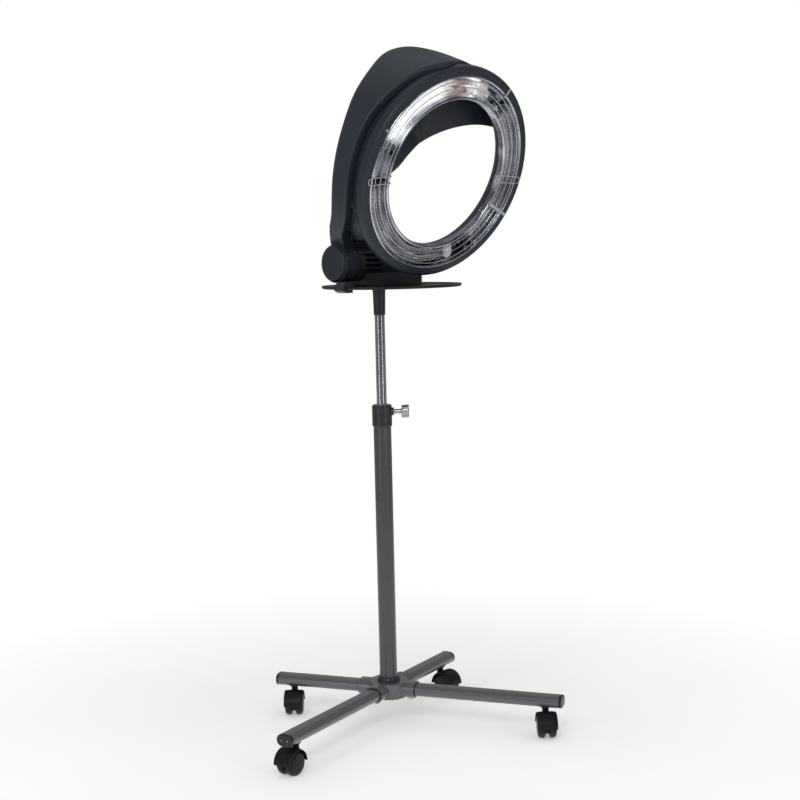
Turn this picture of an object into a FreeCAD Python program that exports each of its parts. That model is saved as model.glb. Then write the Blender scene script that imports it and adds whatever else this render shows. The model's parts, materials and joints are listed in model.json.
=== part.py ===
import FreeCAD, Part
import math
import os
import Sketcher
from FreeCAD import Placement, Rotation, Vector

# Hair color processor on a castor stand.
# +Z is up, the origin is the middle of the room that it takes up on the floor, the ring faces -Y and
# tilts about X. Shapes are drawn from the column's axis, and each node's placement moves them over.

SIZES = {
    # Place of the column's axis, from the middle of the room that the stand takes up
    "column_across": 65.21,
    "column_back": 58.57,
    # Fits shared by all pieces
    "slide_gap": 0.1,
    "body_gap": 0.3,
    "cut_overrun": 2.0,
    # Legs and their end caps
    "leg_long": 388.0,
    "leg_short": 262.0,
    "leg_width": 38.0,
    "leg_depth": 25.0,
    "leg_wall": 1.6,
    "leg_level": 74.5,
    "leg_root": 26.0,
    "cap_thickness": 6.0,
    "cap_plug": 12.0,
    "cap_edge": 2.0,
    "cap_pin_radius": 2.0,
    "cap_pin_spacing": 14.0,
    # Hub of the base
    "hub_radius": 42.0,
    "hub_edge": 3.0,
    "collar_wall": 4.0,
    "collar_reach": 64.0,
    "foot_ring_radius": 25.0,
    "foot_ring_height": 9.0,
    "bolt_radius": 4.0,
    "bolt_head_radius": 7.0,
    "bolt_head_height": 5.0,
    "bolt_place": 50.0,
    # Castors
    "castor_inset": 38.0,
    "castor_trail": 18.0,
    "wheel_radius": 25.0,
    "wheel_width": 16.0,
    "wheel_recess": 2.0,
    "wheel_rim": 4.0,
    "wheel_edge": 3.0,
    "wheel_hub_radius": 9.0,
    "axle_radius": 3.0,
    "web_half": 3.8,
    "web_radius": 17.0,
    "hood_gap": 1.4,
    "hood_wall": 3.2,
    "hood_half": 21.0,
    "hood_bevel": 2.2,
    "castor_boss_radius": 7.0,
    "castor_boss_height": 14.0,
    "stem_radius": 5.0,
    "stem_length": 20.0,
    "stem_socket_radius": 8.0,
    "stem_flange_radius": 11.0,
    "stem_flange_height": 2.0,
    "neck_gap": 6.0,
    # Column
    "outer_tube_radius": 19.0,
    "outer_tube_wall": 1.5,
    "outer_tube_top": 668.0,
    "collar_radius": 21.3,
    "collar_skirt": 18.0,
    "collar_top": 696.0,
    "collar_edge": 2.0,
    "collar_boss_radius": 8.5,
    "collar_boss_reach": 25.5,
    "inner_tube_radius": 10.75,
    "inner_tube_wall": 1.5,
    "inner_tube_foot": 330.0,
    "bush_length": 40.0,
    "plug_height": 22.0,
    "screw_radius": 5.0,
    "screw_level": 681.0,
    "pad_length": 3.4,
    "knob_start": 42.0,
    "knob_length": 16.0,
    "knob_radius": 14.0,
    "knob_edge": 2.5,
    # Socket and tray under the head
    "socket_foot": 888.0,
    "socket_foot_radius": 12.2,
    "socket_top_radius": 13.6,
    "socket_flange_radius": 34.0,
    "socket_flange_height": 5.0,
    "socket_roof": 6.0,
    "tray_level": 948.0,
    "tray_radius": 147.0,
    "tray_floor": 3.0,
    "tray_rim": 8.0,
    "tray_forward": 41.0,
    "tray_lip": 3.0,
    "tray_boss": 3.0,
    "tray_boss_flare": 45.0,
    "tray_recess": 0.8,
    "tray_recess_back": 46.0,
    "clip_arm": 22.0,
    "clip_height": 15.0,
    "clip_width": 26.0,
    "clip_edge": 5.0,
    # Drum housing on its pedestal
    "axis_level": 1000.0,
    "drum_radius": 38.0,
    "drum_wall": 3.0,
    "drum_left": 79.0,
    "drum_right": 94.0,
    "pedestal_left": 62.0,
    "pedestal_half": 31.0,
    "louvre_left": 68.0,
    "louvre_length": 48.0,
    "louvre_height": 4.5,
    "louvre_lip": 1.6,
    "end_cover_thickness": 4.0,
    "end_cover_edge": 1.5,
    # Controls on the drum's right end
    "timer_level": 12.0,
    "timer_knob_radius": 15.0,
    "timer_knob_height": 13.0,
    "timer_knob_taper": 2.0,
    "timer_shaft_radius": 3.0,
    "timer_body_depth": 26.0,
    "timer_body_half": 17.0,
    "switch_level": 17.0,
    "switch_width": 20.0,
    "switch_height": 13.0,
    "switch_depth": 8.0,
    "switch_proud": 2.5,
    "switch_gap": 0.7,
    "switch_pivot_radius": 1.0,
    "switch_pivot_inset": 1.0,
    "inlet_level": 34.6,
    "inlet_width": 27.0,
    "inlet_height": 16.0,
    "inlet_depth": 22.0,
    "inlet_wall": 2.0,
    "inlet_flange": 2.0,
    "inlet_pin": 1.2,
    # Tilt hinge
    "hub_disc_radius": 40.0,
    "hub_disc_face": 128.0,
    "hub_disc_depth": 10.0,
    "hub_disc_edge": 9.0,
    "barrel_end": 90.0,
    "drum_clearance": 4.0,
    "friction_ring_radius": 36.0,
    "tilt_axle_radius": 8.0,
    "tilt_axle_end": 46.0,
    "tilt_bush_radius": 13.0,
    "tilt_bush_length": 26.0,
    # Ring, measured from the centre of its front plane
    "ring_forward": 141.4,
    "ring_up": 238.7,
    "ring_lip_radius": 197.0,
    "ring_face_radius": 210.0,
    "ring_outer_radius": 216.5,
    "ring_outer_depth": 5.5,
    "ring_back_radius": 184.0,
    "ring_back_depth": 46.0,
    "ring_inner_depth": 15.0,
    "ring_inner_radius": 151.5,
    "ring_hole_radius": 153.7,
    "ring_wall": 2.5,
    "reflector_wall": 1.0,
    "reflector_floor": 7.0,
    "reflector_step": 1.6,
    # Lamps and guard
    "lamp_mid_radius": 175.5,
    "lamp_tube_radius": 6.2,
    "lamp_spacing": 15.5,
    "lamp_depth": 15.0,
    "end_block_width": 32.0,
    "end_block_length": 15.0,
    "end_block_height": 18.0,
    "end_block_edge": 4.0,
    "guard_wire_radius": 1.1,
    "guard_spacing": 13.0,
    "weld_depth": 0.3,
    "strut_wire_radius": 1.1,
    "strut_loop_radius": 7.5,
    "strut_overhang": 5.0,
    "clip_length": 12.0,
    "clip_thickness": 1.4,
    "bracket_width": 16.0,
    "bracket_depth": 12.0,
    # Hood
    "hood_radius": 226.0,
    "hood_thickness": 3.0,
    "hood_corner": 22.0,
    "lip_gap": 1.0,
    "hood_opening_radius": 211.0,
    "hood_opening_across": 127.0,
    "hood_opening_below": 124.0,
    "hood_arm_front": 122.0,
    "hood_arm_back": 178.0,
    "hood_arm_taper": 12.0,
    "hood_arm_corner": 9.0,
    "hood_ridge": 4.0,
    "skirt_level": 47.0,
    "vent_block_radius": 60.0,
    "vent_block_right": 30.0,
    "vent_block_turn": 17.0,
    "vent_block_sweep": 70.0,
    "vent_slot": 3.0,
    "skirt_radius": 207.0,
    "skirt_wall": 2.5,
    "skirt_tuck": 9.0,
    # Screws
    "screw_head_radius": 3.2,
    "screw_head_height": 1.6,
    # Angles, in degrees
    "leg_spread": 102.4,
    "base_turn": -22.6,
    "clamp_turn": -41.4,
    "head_tilt": 20.8,
    "louvre_turn": 16.5,
    "lamp_sweep": 96.0,
}

# Castor headings in degrees, as the stand was last pushed
CASTOR_TURNS = {"front_right": -41.0, "front_left": -76.0, "rear_left": -44.0, "rear_right": 8.0}
# Middles of the lamps, the wire struts, the lip clips and the hood's brackets, in degrees from the ring's top
LAMP_ANGLES = {"top": -28.0, "right": 92.0, "bottom": 212.0}
STRUT_ANGLES = (-95.0, 92.7)
CLIP_ANGLES = (33.0, 115.0)
BRACKET_ANGLES = (-40.0, -78.0, -112.0)


class Size:
    """A number together with the sheet expression that gives it."""

    def __init__(self, value, text):
        self.value = value
        self.text = text

    def __add__(self, other):
        other = sized(other)
        return Size(self.value + other.value, "(%s + %s)" % (self.text, other.text))

    def __sub__(self, other):
        other = sized(other)
        return Size(self.value - other.value, "(%s - %s)" % (self.text, other.text))

    def __mul__(self, other):
        other = sized(other)
        return Size(self.value * other.value, "(%s * %s)" % (self.text, other.text))

    def __truediv__(self, other):
        other = sized(other)
        return Size(self.value / other.value, "(%s / %s)" % (self.text, other.text))

    def __neg__(self):
        return Size(-self.value, "(0 - %s)" % self.text)


def sized(number):
    return number if isinstance(number, Size) else Size(float(number), repr(float(number)))


ZERO = Size(0.0, "0")
HALF_TURN_SLACK = 0.001

doc = FreeCAD.newDocument("HairColorProcessor")
sheet = doc.addObject("Spreadsheet::Sheet", "Sizes")
for row, (alias, value) in enumerate(SIZES.items(), start=1):
    sheet.set("A%d" % row, alias)
    sheet.set("B%d" % row, repr(value))
    sheet.setAlias("B%d" % row, alias)
doc.recompute()

nodes = []


def get(alias):
    """The size under this alias, read back from the sheet."""
    return Size(float(sheet.get(alias)), "Sizes." + alias)


def num(alias):
    return get(alias).value


def bind(thing, field, size):
    size = sized(size)
    thing.setExpression(field, size.text)


def node(thing, label, placement=None):
    """Names a finished sub-part and puts it in its place."""
    thing.Label = label
    column = Placement(Vector(num("column_across"), num("column_back"), 0), Rotation())
    thing.Placement = column.multiply(placement or Placement())
    nodes.append(thing)
    return thing


# Sketch and feature helpers

def new_body(name):
    return doc.addObject("PartDesign::Body", name + "_body")


def plane(body, role):
    return [part for part in body.Origin.OriginFeatures if part.Role == role][0]


def new_sketch(body, role, shift=None, turn=None, about=Vector(0, 1, 0)):
    """A sketch on one of the body's own planes, moved along its normal or turned about its own axis."""
    sketch = body.newObject("Sketcher::SketchObject", "Sketch")
    sketch.AttachmentSupport = [(plane(body, role), "")]
    sketch.MapMode = "FlatFace"
    if turn is not None:
        sketch.AttachmentOffset = Placement(Vector(), Rotation(about, turn))
    if shift is not None:
        bind(sketch, "AttachmentOffset.Base.z", shift)
    return sketch


def hold(sketch, kind, index, point, size):
    """Fixes one coordinate of a point of the sketch to a size."""
    place = sketch.addConstraint(Sketcher.Constraint(kind, -1, 1, index, point, size.value))
    bind(sketch, "Constraints[%d]" % place, size)


def circle(sketch, radius, across=ZERO, up=ZERO):
    centre = Vector(across.value, up.value, 0)
    index = sketch.addGeometry(Part.Circle(centre, Vector(0, 0, 1), radius.value), False)
    hold(sketch, "DistanceX", index, 3, across)
    hold(sketch, "DistanceY", index, 3, up)
    place = sketch.addConstraint(Sketcher.Constraint("Radius", index, radius.value))
    bind(sketch, "Constraints[%d]" % place, radius)


def outline(sketch, points):
    """A closed outline. Each point is (across, up), or (across, up, radius) where an arc leads to it.
    A positive radius puts the arc's bulge on the left of the way it runs, a negative one on the right."""
    corners = [(sized(point[0]), sized(point[1])) for point in points]
    edges = []
    for number, point in enumerate(points):
        start = corners[number - 1]
        end = corners[number]
        first = Vector(start[0].value, start[1].value, 0)
        last = Vector(end[0].value, end[1].value, 0)
        if len(point) == 3:
            radius = abs(point[2].value)
            side = 1.0 if point[2].value > 0 else -1.0
            chord = last - first
            left = Vector(-chord.y, chord.x, 0).normalize()
            drop = math.sqrt(max(radius ** 2 - (chord.Length / 2) ** 2, 0.0))
            middle = (first + last) / 2
            centre = middle - left * drop * side
            top = centre + left * radius * side
            index = sketch.addGeometry(Part.Arc(first, top, last), False)
            # Sketcher keeps its arcs counter-clockwise, so one that bulges left starts at its end
            ends = (2, 1) if side > 0 else (1, 2)
            edges.append((index, ends, abs_size(point[2])))
            if drop < HALF_TURN_SLACK:
                # A half circle is held by its middle, since its radius follows from its ends
                upright = abs(chord.x) < HALF_TURN_SLACK
                hold(sketch, "DistanceX" if upright else "DistanceY", index, 3, end[0] if upright else end[1])
                edges[-1] = (index, ends, None)
        else:
            index = sketch.addGeometry(Part.LineSegment(first, last), False)
            edges.append((index, (1, 2), None))
    for number, (index, ends, radius) in enumerate(edges):
        after, after_ends, _ = edges[(number + 1) % len(edges)]
        sketch.addConstraint(Sketcher.Constraint("Coincident", index, ends[1], after, after_ends[0]))
        hold(sketch, "DistanceX", index, ends[1], corners[number][0])
        hold(sketch, "DistanceY", index, ends[1], corners[number][1])
        if radius is not None:
            place = sketch.addConstraint(Sketcher.Constraint("Radius", index, radius.value))
            bind(sketch, "Constraints[%d]" % place, radius)


def abs_size(size):
    return size if size.value > 0 else -size


def rectangle(sketch, left, right, low, high):
    outline(sketch, [(left, low), (right, low), (right, high), (left, high)])


def oval(sketch, width, depth):
    """A flat oval: two half circles joined by straight sides."""
    flat = (width - depth) / 2
    radius = depth / 2
    outline(sketch, [(flat, -radius), (flat, radius, -radius), (-flat, radius), (-flat, -radius, -radius)])


def pad(body, sketch, length, backward=False, both_ways=False):
    feature = body.newObject("PartDesign::Pad", "Pad")
    feature.Profile = sketch
    bind(feature, "Length", length)
    feature.Reversed = backward
    if both_ways:
        feature.Midplane = True
    return feature


def pocket(body, sketch, length, forward=False, both_ways=False):
    """Cuts against the sketch's normal, or along it."""
    feature = body.newObject("PartDesign::Pocket", "Pocket")
    feature.Profile = sketch
    bind(feature, "Length", length)
    feature.Reversed = forward
    if both_ways:
        feature.Midplane = True
    return feature


def revolve(body, sketch, axis="V_Axis"):
    feature = body.newObject("PartDesign::Revolution", "Revolution")
    feature.Profile = sketch
    feature.ReferenceAxis = (sketch, [axis])
    feature.Angle = 360.0
    return feature


def turned(name, points, role="XZ_Plane", axis="V_Axis"):
    """A body turned from one outline."""
    body = new_body(name)
    sketch = new_sketch(body, role)
    outline(sketch, points)
    revolve(body, sketch, axis)
    return body


def cylinder(name, radius, height, centre=Vector(), along=Vector(0, 0, 1)):
    solid = doc.addObject("Part::Cylinder", name)
    bind(solid, "Radius", radius)
    bind(solid, "Height", height)
    solid.Placement = Placement(centre, Rotation(Vector(0, 0, 1), along))
    return solid


def block(name, length, width, height):
    solid = doc.addObject("Part::Box", name)
    bind(solid, "Length", length)
    bind(solid, "Width", width)
    bind(solid, "Height", height)
    return solid


def joined(name, solids):
    whole = doc.addObject("Part::MultiFuse", name)
    whole.Shapes = solids
    return whole


def less(name, base, tool):
    whole = doc.addObject("Part::Cut", name)
    whole.Base = base
    whole.Tool = tool
    return whole


def shaped(name, shape):
    whole = doc.addObject("Part::Feature", name)
    whole.Shape = shape
    return whole


def grouped(name, solids):
    """Several like pieces that share one node."""
    return shaped(name, Part.makeCompound([solid.copy() for solid in solids]))


def spin(angle, move=Vector()):
    return Placement(move, Rotation(Vector(0, 0, 1), angle))


# Base

half_spread = num("leg_spread") / 2
front = -90.0 + num("base_turn")
LEGS = {
    "front_right": (front + half_spread, "leg_long"),
    "front_left": (front - half_spread, "leg_long"),
    "rear_left": (front + half_spread + 180.0, "leg_short"),
    "rear_right": (front - half_spread + 180.0, "leg_short"),
}


def make_leg(name, angle, reach):
    """Flat-oval tube with a hole below for the castor's socket and one for the hub bolt."""
    body = new_body("leg_" + name)
    ring = new_sketch(body, "YZ_Plane", get("leg_root"))
    oval(ring, get("leg_width"), get("leg_depth"))
    bore = new_sketch(body, "YZ_Plane", get("leg_root"))
    oval(bore, get("leg_width") - get("leg_wall") * 2, get("leg_depth") - get("leg_wall") * 2)
    length = reach - get("cap_thickness") - get("leg_root")
    pad(body, ring, length)
    pocket(body, bore, length, forward=True)
    holes = new_sketch(body, "XY_Plane")
    circle(holes, get("stem_socket_radius"), reach - get("castor_inset"))
    circle(holes, get("bolt_radius"), get("bolt_place"))
    pocket(body, holes, get("leg_depth"))
    return node(body, "base_leg_" + name, spin(angle, Vector(0, 0, num("leg_level"))))


def cap_solid(angle, reach):
    """Black cap that closes a leg: a rounded face, a plug in the tube and two pin heads."""
    wall = num("leg_wall")
    shapes = []
    for inset, start, end in (
        (0.0, reach - num("cap_thickness"), reach),
        (wall, reach - num("cap_thickness") - num("cap_plug"), reach - num("cap_thickness")),
    ):
        flat = (num("leg_width") - num("leg_depth")) / 2
        radius = num("leg_depth") / 2 - inset
        ends = [
            Part.Arc(Vector(start, flat, -radius), Vector(start, flat + radius, 0), Vector(start, flat, radius)),
            Part.LineSegment(Vector(start, flat, radius), Vector(start, -flat, radius)),
            Part.Arc(Vector(start, -flat, radius), Vector(start, -flat - radius, 0), Vector(start, -flat, -radius)),
            Part.LineSegment(Vector(start, -flat, -radius), Vector(start, flat, -radius)),
        ]
        wire = Part.Wire([edge.toShape() for edge in ends])
        solid = Part.Face(wire).extrude(Vector(end - start, 0, 0))
        if inset == 0.0:
            rim = [edge for edge in solid.Edges if edge.BoundBox.XMin > end - num("cap_edge") / 2]
            solid = solid.makeFillet(num("cap_edge"), rim)
        shapes.append(solid)
    whole = shapes[0].fuse(shapes[1])
    for side in (-1, 1):
        place = Vector(reach - num("cap_edge"), side * num("cap_pin_spacing") / 2, 0)
        pin = Part.makeCylinder(num("cap_pin_radius"), num("cap_edge") * 2, place, Vector(1, 0, 0))
        whole = whole.cut(pin)
    whole.Placement = spin(angle, Vector(0, 0, num("leg_level")))
    return whole


for leg_name, (leg_angle, leg_reach) in LEGS.items():
    make_leg(leg_name, leg_angle, get(leg_reach))
node(grouped("caps", [cap_solid(angle, num(reach)) for angle, reach in LEGS.values()]), "leg_end_caps")


def make_hub():
    """Moulded cross hub: a round middle with one socket collar for each leg."""
    body = new_body("hub")
    height = get("leg_depth") + get("collar_wall") * 2
    middle = new_sketch(body, "XY_Plane", -height / 2)
    circle(middle, get("hub_radius"))
    pad(body, middle, height)
    for angle, _ in LEGS.values():
        collar = new_sketch(body, "YZ_Plane", turn=angle)
        oval(collar, get("leg_width") + get("collar_wall") * 2, height)
        pad(body, collar, get("collar_reach"))
    for angle, _ in LEGS.values():
        socket = new_sketch(body, "YZ_Plane", turn=angle)
        root = Placement(Vector(), Rotation(Vector(0, 1, 0), angle))
        socket.AttachmentOffset = root.multiply(Placement(Vector(0, 0, num("leg_root")), Rotation()))
        oval(socket, get("leg_width"), get("leg_depth"))
        pocket(body, socket, get("collar_reach"), forward=True)
    bore = new_sketch(body, "XY_Plane", -height / 2 + get("collar_wall"))
    circle(bore, get("outer_tube_radius"))
    pocket(body, bore, height, forward=True)
    holes = new_sketch(body, "XY_Plane")
    for angle, _ in LEGS.values():
        across = get("bolt_place") * Size(math.cos(math.radians(angle)), repr(math.cos(math.radians(angle))))
        up = get("bolt_place") * Size(math.sin(math.radians(angle)), repr(math.sin(math.radians(angle))))
        circle(holes, get("bolt_radius"), across, up)
    pocket(body, holes, height)
    return node(body, "base_hub", Placement(Vector(0, 0, num("leg_level")), Rotation()))


make_hub()

hub_top = num("leg_level") + num("leg_depth") / 2 + num("collar_wall")
hub_bottom = num("leg_level") - num("leg_depth") / 2 - num("collar_wall")
tube_foot = hub_bottom + num("collar_wall")


def bolt_solid(angle):
    """Bolt from below through the collar into its leg."""
    turn = math.radians(angle)
    place = Vector(num("bolt_place") * math.cos(turn), num("bolt_place") * math.sin(turn), hub_bottom)
    shank = Part.makeCylinder(num("bolt_radius"), num("collar_wall") * 2.5, place)
    corners = [Vector(num("bolt_head_radius") * math.cos(side * math.pi / 3),
                      num("bolt_head_radius") * math.sin(side * math.pi / 3), 0) for side in range(7)]
    head = Part.Face(Part.makePolygon(corners)).extrude(Vector(0, 0, -num("bolt_head_height")))
    head.translate(place)
    return shank.fuse(head)


node(grouped("bolts", [bolt_solid(angle) for angle, _ in LEGS.values()]), "hub_bolts")


# Column

def sleeve(name, outer, inner, low, high):
    """A plain ring or tube round the column's axis."""
    body = new_body(name)
    ring = new_sketch(body, "XY_Plane", low)
    circle(ring, outer)
    circle(ring, inner)
    pad(body, ring, high - low)
    return body


node(sleeve("outer_tube", get("outer_tube_radius"), get("outer_tube_radius") - get("outer_tube_wall"),
            get("leg_level") - get("leg_depth") / 2, get("outer_tube_top")), "column_outer_tube")

foot_ring_low = get("leg_level") + get("leg_depth") / 2 + get("collar_wall")
foot_ring_in = get("outer_tube_radius")
node(turned("foot_ring", [
    (foot_ring_in, foot_ring_low),
    (get("foot_ring_radius"), foot_ring_low),
    (get("foot_ring_radius"), foot_ring_low + get("foot_ring_height") / 2),
    (get("foot_ring_radius") - get("collar_edge"), foot_ring_low + get("foot_ring_height")),
    (foot_ring_in, foot_ring_low + get("foot_ring_height")),
]), "column_foot_ring")

bush_out = get("outer_tube_radius") - get("outer_tube_wall")
tube_way = get("inner_tube_radius") + get("slide_gap")
node(sleeve("bush", bush_out, tube_way, get("outer_tube_top") - get("bush_length"),
            get("outer_tube_top")), "column_guide_bush")


def make_collar():
    """Clamp collar: a skirt over the outer tube, a narrow bore for the inner one and a boss for the screw."""
    body = new_body("collar")
    low = get("outer_tube_top") - get("collar_skirt")
    profile = new_sketch(body, "XZ_Plane")
    outline(profile, [
        (get("outer_tube_radius"), low),
        (get("collar_radius") - get("collar_edge") / 2, low),
        (get("collar_radius"), low + get("collar_edge")),
        (get("collar_radius"), get("collar_top") - get("collar_edge")),
        (get("collar_radius") - get("collar_edge"), get("collar_top")),
        (tube_way + get("collar_edge") / 2, get("collar_top")),
        (tube_way, get("collar_top") - get("collar_edge") / 2),
        (tube_way, get("outer_tube_top")),
        (get("outer_tube_radius"), get("outer_tube_top")),
    ])
    revolve(body, profile)
    boss = new_sketch(body, "YZ_Plane", get("inner_tube_radius") + get("collar_edge") * 2)
    circle(boss, get("collar_boss_radius"), ZERO, get("screw_level"))
    pad(body, boss, get("collar_boss_reach") - get("inner_tube_radius") - get("collar_edge") * 2)
    hole = new_sketch(body, "YZ_Plane")
    circle(hole, get("screw_radius") + get("slide_gap"), ZERO, get("screw_level"))
    pocket(body, hole, get("collar_boss_reach") + get("cut_overrun"), forward=True)
    return node(body, "clamp_collar", spin(num("clamp_turn")))


make_collar()

pad_start = get("inner_tube_radius") + get("body_gap")


def along_screw(name, points):
    """A piece turned about the thumb screw's axis, which points away from the column."""
    body = turned(name, points, "XY_Plane", "H_Axis")
    return body


screw_place = spin(num("clamp_turn"), Vector(0, 0, num("screw_level")))
node(along_screw("clamp_pad", [
    (pad_start, ZERO),
    (pad_start + get("pad_length"), ZERO),
    (pad_start + get("pad_length"), get("screw_radius")),
    (pad_start, get("screw_radius")),
]), "clamp_pad", screw_place)
screw_start = pad_start + get("pad_length") + get("slide_gap")
node(along_screw("screw", [
    (screw_start, ZERO),
    (get("knob_start") + get("knob_length") / 2, ZERO),
    (get("knob_start") + get("knob_length") / 2, get("screw_radius") / 2),
    (get("knob_start"), get("screw_radius") / 2),
    (get("knob_start"), get("screw_radius")),
    (screw_start + get("collar_edge") / 2, get("screw_radius")),
    (screw_start, get("screw_radius") - get("collar_edge") / 2),
]), "thumb_screw", screw_place)


def make_thumb_knob():
    """Round knob with finger flats, moulded on the screw's end."""
    start = get("knob_start")
    end = start + get("knob_length")
    body = along_screw("thumb_knob", [
        (start, get("screw_radius") / 2),
        (start + get("knob_length") / 2, get("screw_radius") / 2),
        (start + get("knob_length") / 2, ZERO),
        (end, ZERO),
        (end, get("knob_radius") - get("knob_edge")),
        (end - get("knob_edge"), get("knob_radius"), -get("knob_edge")),
        (start + get("knob_edge"), get("knob_radius")),
        (start, get("knob_radius") - get("knob_edge"), -get("knob_edge")),
    ])
    doc.recompute()
    for side in range(10):
        turn = 2 * math.pi * side / 10
        reach = get("knob_radius") + get("knob_edge") / 2
        groove = new_sketch(body, "YZ_Plane", start)
        across = reach * Size(math.cos(turn), repr(math.cos(turn)))
        up = reach * Size(math.sin(turn), repr(math.sin(turn)))
        circle(groove, get("knob_edge"), across, up)
        pocket(body, groove, get("knob_length"), forward=True)
    return node(body, "thumb_screw_knob", screw_place)


make_thumb_knob()

tube_top = get("tray_level") - get("socket_roof") - get("body_gap")
node(sleeve("inner_tube", get("inner_tube_radius"), get("inner_tube_radius") - get("inner_tube_wall"),
            get("inner_tube_foot"), tube_top), "column_inner_tube")
plug_out = get("outer_tube_radius") - get("outer_tube_wall") - get("slide_gap")
plug_low = get("inner_tube_foot") - get("collar_edge")
node(turned("plug", [
    (ZERO, plug_low),
    (plug_out - get("collar_edge"), plug_low),
    (plug_out, plug_low + get("collar_edge")),
    (plug_out, plug_low + get("plug_height") - get("collar_edge")),
    (plug_out - get("collar_edge"), plug_low + get("plug_height")),
    (get("inner_tube_radius"), plug_low + get("plug_height")),
    (get("inner_tube_radius"), get("inner_tube_foot")),
    (ZERO, get("inner_tube_foot")),
]), "inner_tube_foot_plug")


# Castors

axle_level = get("wheel_radius")
wheel_start = get("web_half") + get("body_gap")
hood_inner = get("wheel_radius") + get("hood_gap")
hood_outer = hood_inner + get("hood_wall")
boss_top = axle_level + hood_outer + get("neck_gap") / 2
leg_bottom = get("leg_level") - get("leg_depth") / 2


def stem_socket(angle, reach):
    """Flanged socket pressed in the leg, in which the castor's stem turns."""
    place = Vector(reach - num("castor_inset"), 0, 0)
    top = leg_bottom.value + num("stem_length")
    tube = Part.makeCylinder(num("stem_socket_radius"), top - leg_bottom.value, place + Vector(0, 0, leg_bottom.value))
    low = leg_bottom.value - num("stem_flange_height")
    flange = Part.makeCylinder(num("stem_flange_radius"), num("stem_flange_height"), place + Vector(0, 0, low))
    bore = Part.makeCylinder(num("stem_radius") + num("slide_gap"), top - low + num("cut_overrun"),
                             place + Vector(0, 0, low - num("cut_overrun") / 2))
    whole = tube.fuse(flange).cut(bore)
    whole.Placement = spin(angle)
    return whole


node(grouped("sockets", [stem_socket(angle, num(reach)) for angle, reach in LEGS.values()]), "castor_sockets")


def castor_places():
    for name, (angle, reach) in LEGS.items():
        turn = math.radians(angle)
        distance = num(reach) - num("castor_inset")
        spot = Vector(distance * math.cos(turn), distance * math.sin(turn), 0)
        yield name, spin(CASTOR_TURNS[name], spot)


def bevel_rims(body, feature, radius, size):
    """Bevels the feature's round edges of this radius."""
    doc.recompute()
    rims = [edge for edge in feature.Shape.Edges if isinstance(edge.Curve, Part.Circle)
            and abs(edge.Curve.Radius - radius.value) < size.value / 2]
    names = ["Edge%d" % (place + 1) for place, edge in enumerate(feature.Shape.Edges)
             if any(edge.isSame(rim) for rim in rims)]
    bevel = body.newObject("PartDesign::Chamfer", "Bevel")
    bevel.Base = (feature, names)
    bind(bevel, "Size", size)
    return bevel


def make_castor_frame(name, place):
    """Web between the wheels, hood over them, and the stem that turns in the leg's socket."""
    body = new_body("castor_" + name)
    trail = get("castor_trail")
    arch = new_sketch(body, "YZ_Plane")
    outline(arch, [(-trail - hood_outer, axle_level), (hood_outer - trail, axle_level, hood_outer)])
    cover = pad(body, arch, get("hood_half") * 2, both_ways=True)
    bevel_rims(body, cover, hood_outer, get("hood_bevel"))
    boss = new_sketch(body, "XY_Plane", axle_level + get("castor_boss_height"))
    circle(boss, get("castor_boss_radius"))
    pad(body, boss, boss_top - axle_level - get("castor_boss_height"))
    for side in (1, -1):
        space = new_sketch(body, "YZ_Plane", get("web_half") * side)
        circle(space, hood_inner, -trail, axle_level)
        pocket(body, space, get("hood_half") + get("cut_overrun"), forward=side > 0)
    web = new_sketch(body, "YZ_Plane")
    circle(web, get("web_radius"), -trail, axle_level)
    pad(body, web, get("web_half") * 2, both_ways=True)
    stem = new_sketch(body, "XY_Plane", boss_top)
    circle(stem, get("stem_radius"))
    pad(body, stem, leg_bottom - boss_top + get("stem_length") - get("collar_edge"))
    axle = new_sketch(body, "YZ_Plane")
    circle(axle, get("axle_radius"), -trail, axle_level)
    pad(body, axle, (wheel_start + get("wheel_width") - get("wheel_recess")) * 2, both_ways=True)
    return node(body, "castor_frame_" + name, place)


def make_wheel(name, side, place):
    """One of a castor's two wheels, with a recessed face and a rounded tread edge."""
    near = wheel_start
    far = wheel_start + get("wheel_width")
    bore = get("axle_radius") + get("slide_gap")
    body = turned("wheel_" + name + side, [
        (near, bore),
        (far - get("wheel_recess"), bore),
        (far - get("wheel_recess"), get("wheel_hub_radius")),
        (far - get("wheel_recess") * 2, get("wheel_hub_radius") + get("wheel_recess")),
        (far - get("wheel_recess") * 2, get("wheel_radius") - get("wheel_rim") - get("wheel_recess")),
        (far, get("wheel_radius") - get("wheel_rim")),
        (far - get("wheel_edge"), get("wheel_radius"), -get("wheel_edge") * 1.3),
        (near + get("wheel_edge") / 2, get("wheel_radius")),
        (near, get("wheel_radius") - get("wheel_edge") / 2),
    ], "XY_Plane", "H_Axis")
    flip = Rotation(Vector(0, 0, 1), 180.0 if side == "_left" else 0.0)
    centre = Vector(0, -num("castor_trail"), num("wheel_radius"))
    return node(body, "castor_wheel_" + name + side, place.multiply(Placement(centre, flip)))


for castor_name, castor_place in castor_places():
    make_castor_frame(castor_name, castor_place)
    for wheel_side in ("_left", "_right"):
        make_wheel(castor_name, wheel_side, castor_place)


# Socket and tray

node(turned("socket", [
    (get("inner_tube_radius") + get("slide_gap"), get("socket_foot")),
    (get("socket_foot_radius"), get("socket_foot")),
    (get("socket_top_radius"), get("tray_level") - get("socket_flange_height") * 1.5),
    (get("socket_flange_radius"), get("tray_level") - get("socket_flange_height") / 2),
    (get("socket_flange_radius"), get("tray_level")),
    (ZERO, get("tray_level")),
    (ZERO, get("tray_level") - get("socket_roof")),
    (get("inner_tube_radius") + get("slide_gap"), get("tray_level") - get("socket_roof")),
]), "head_socket")

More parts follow.
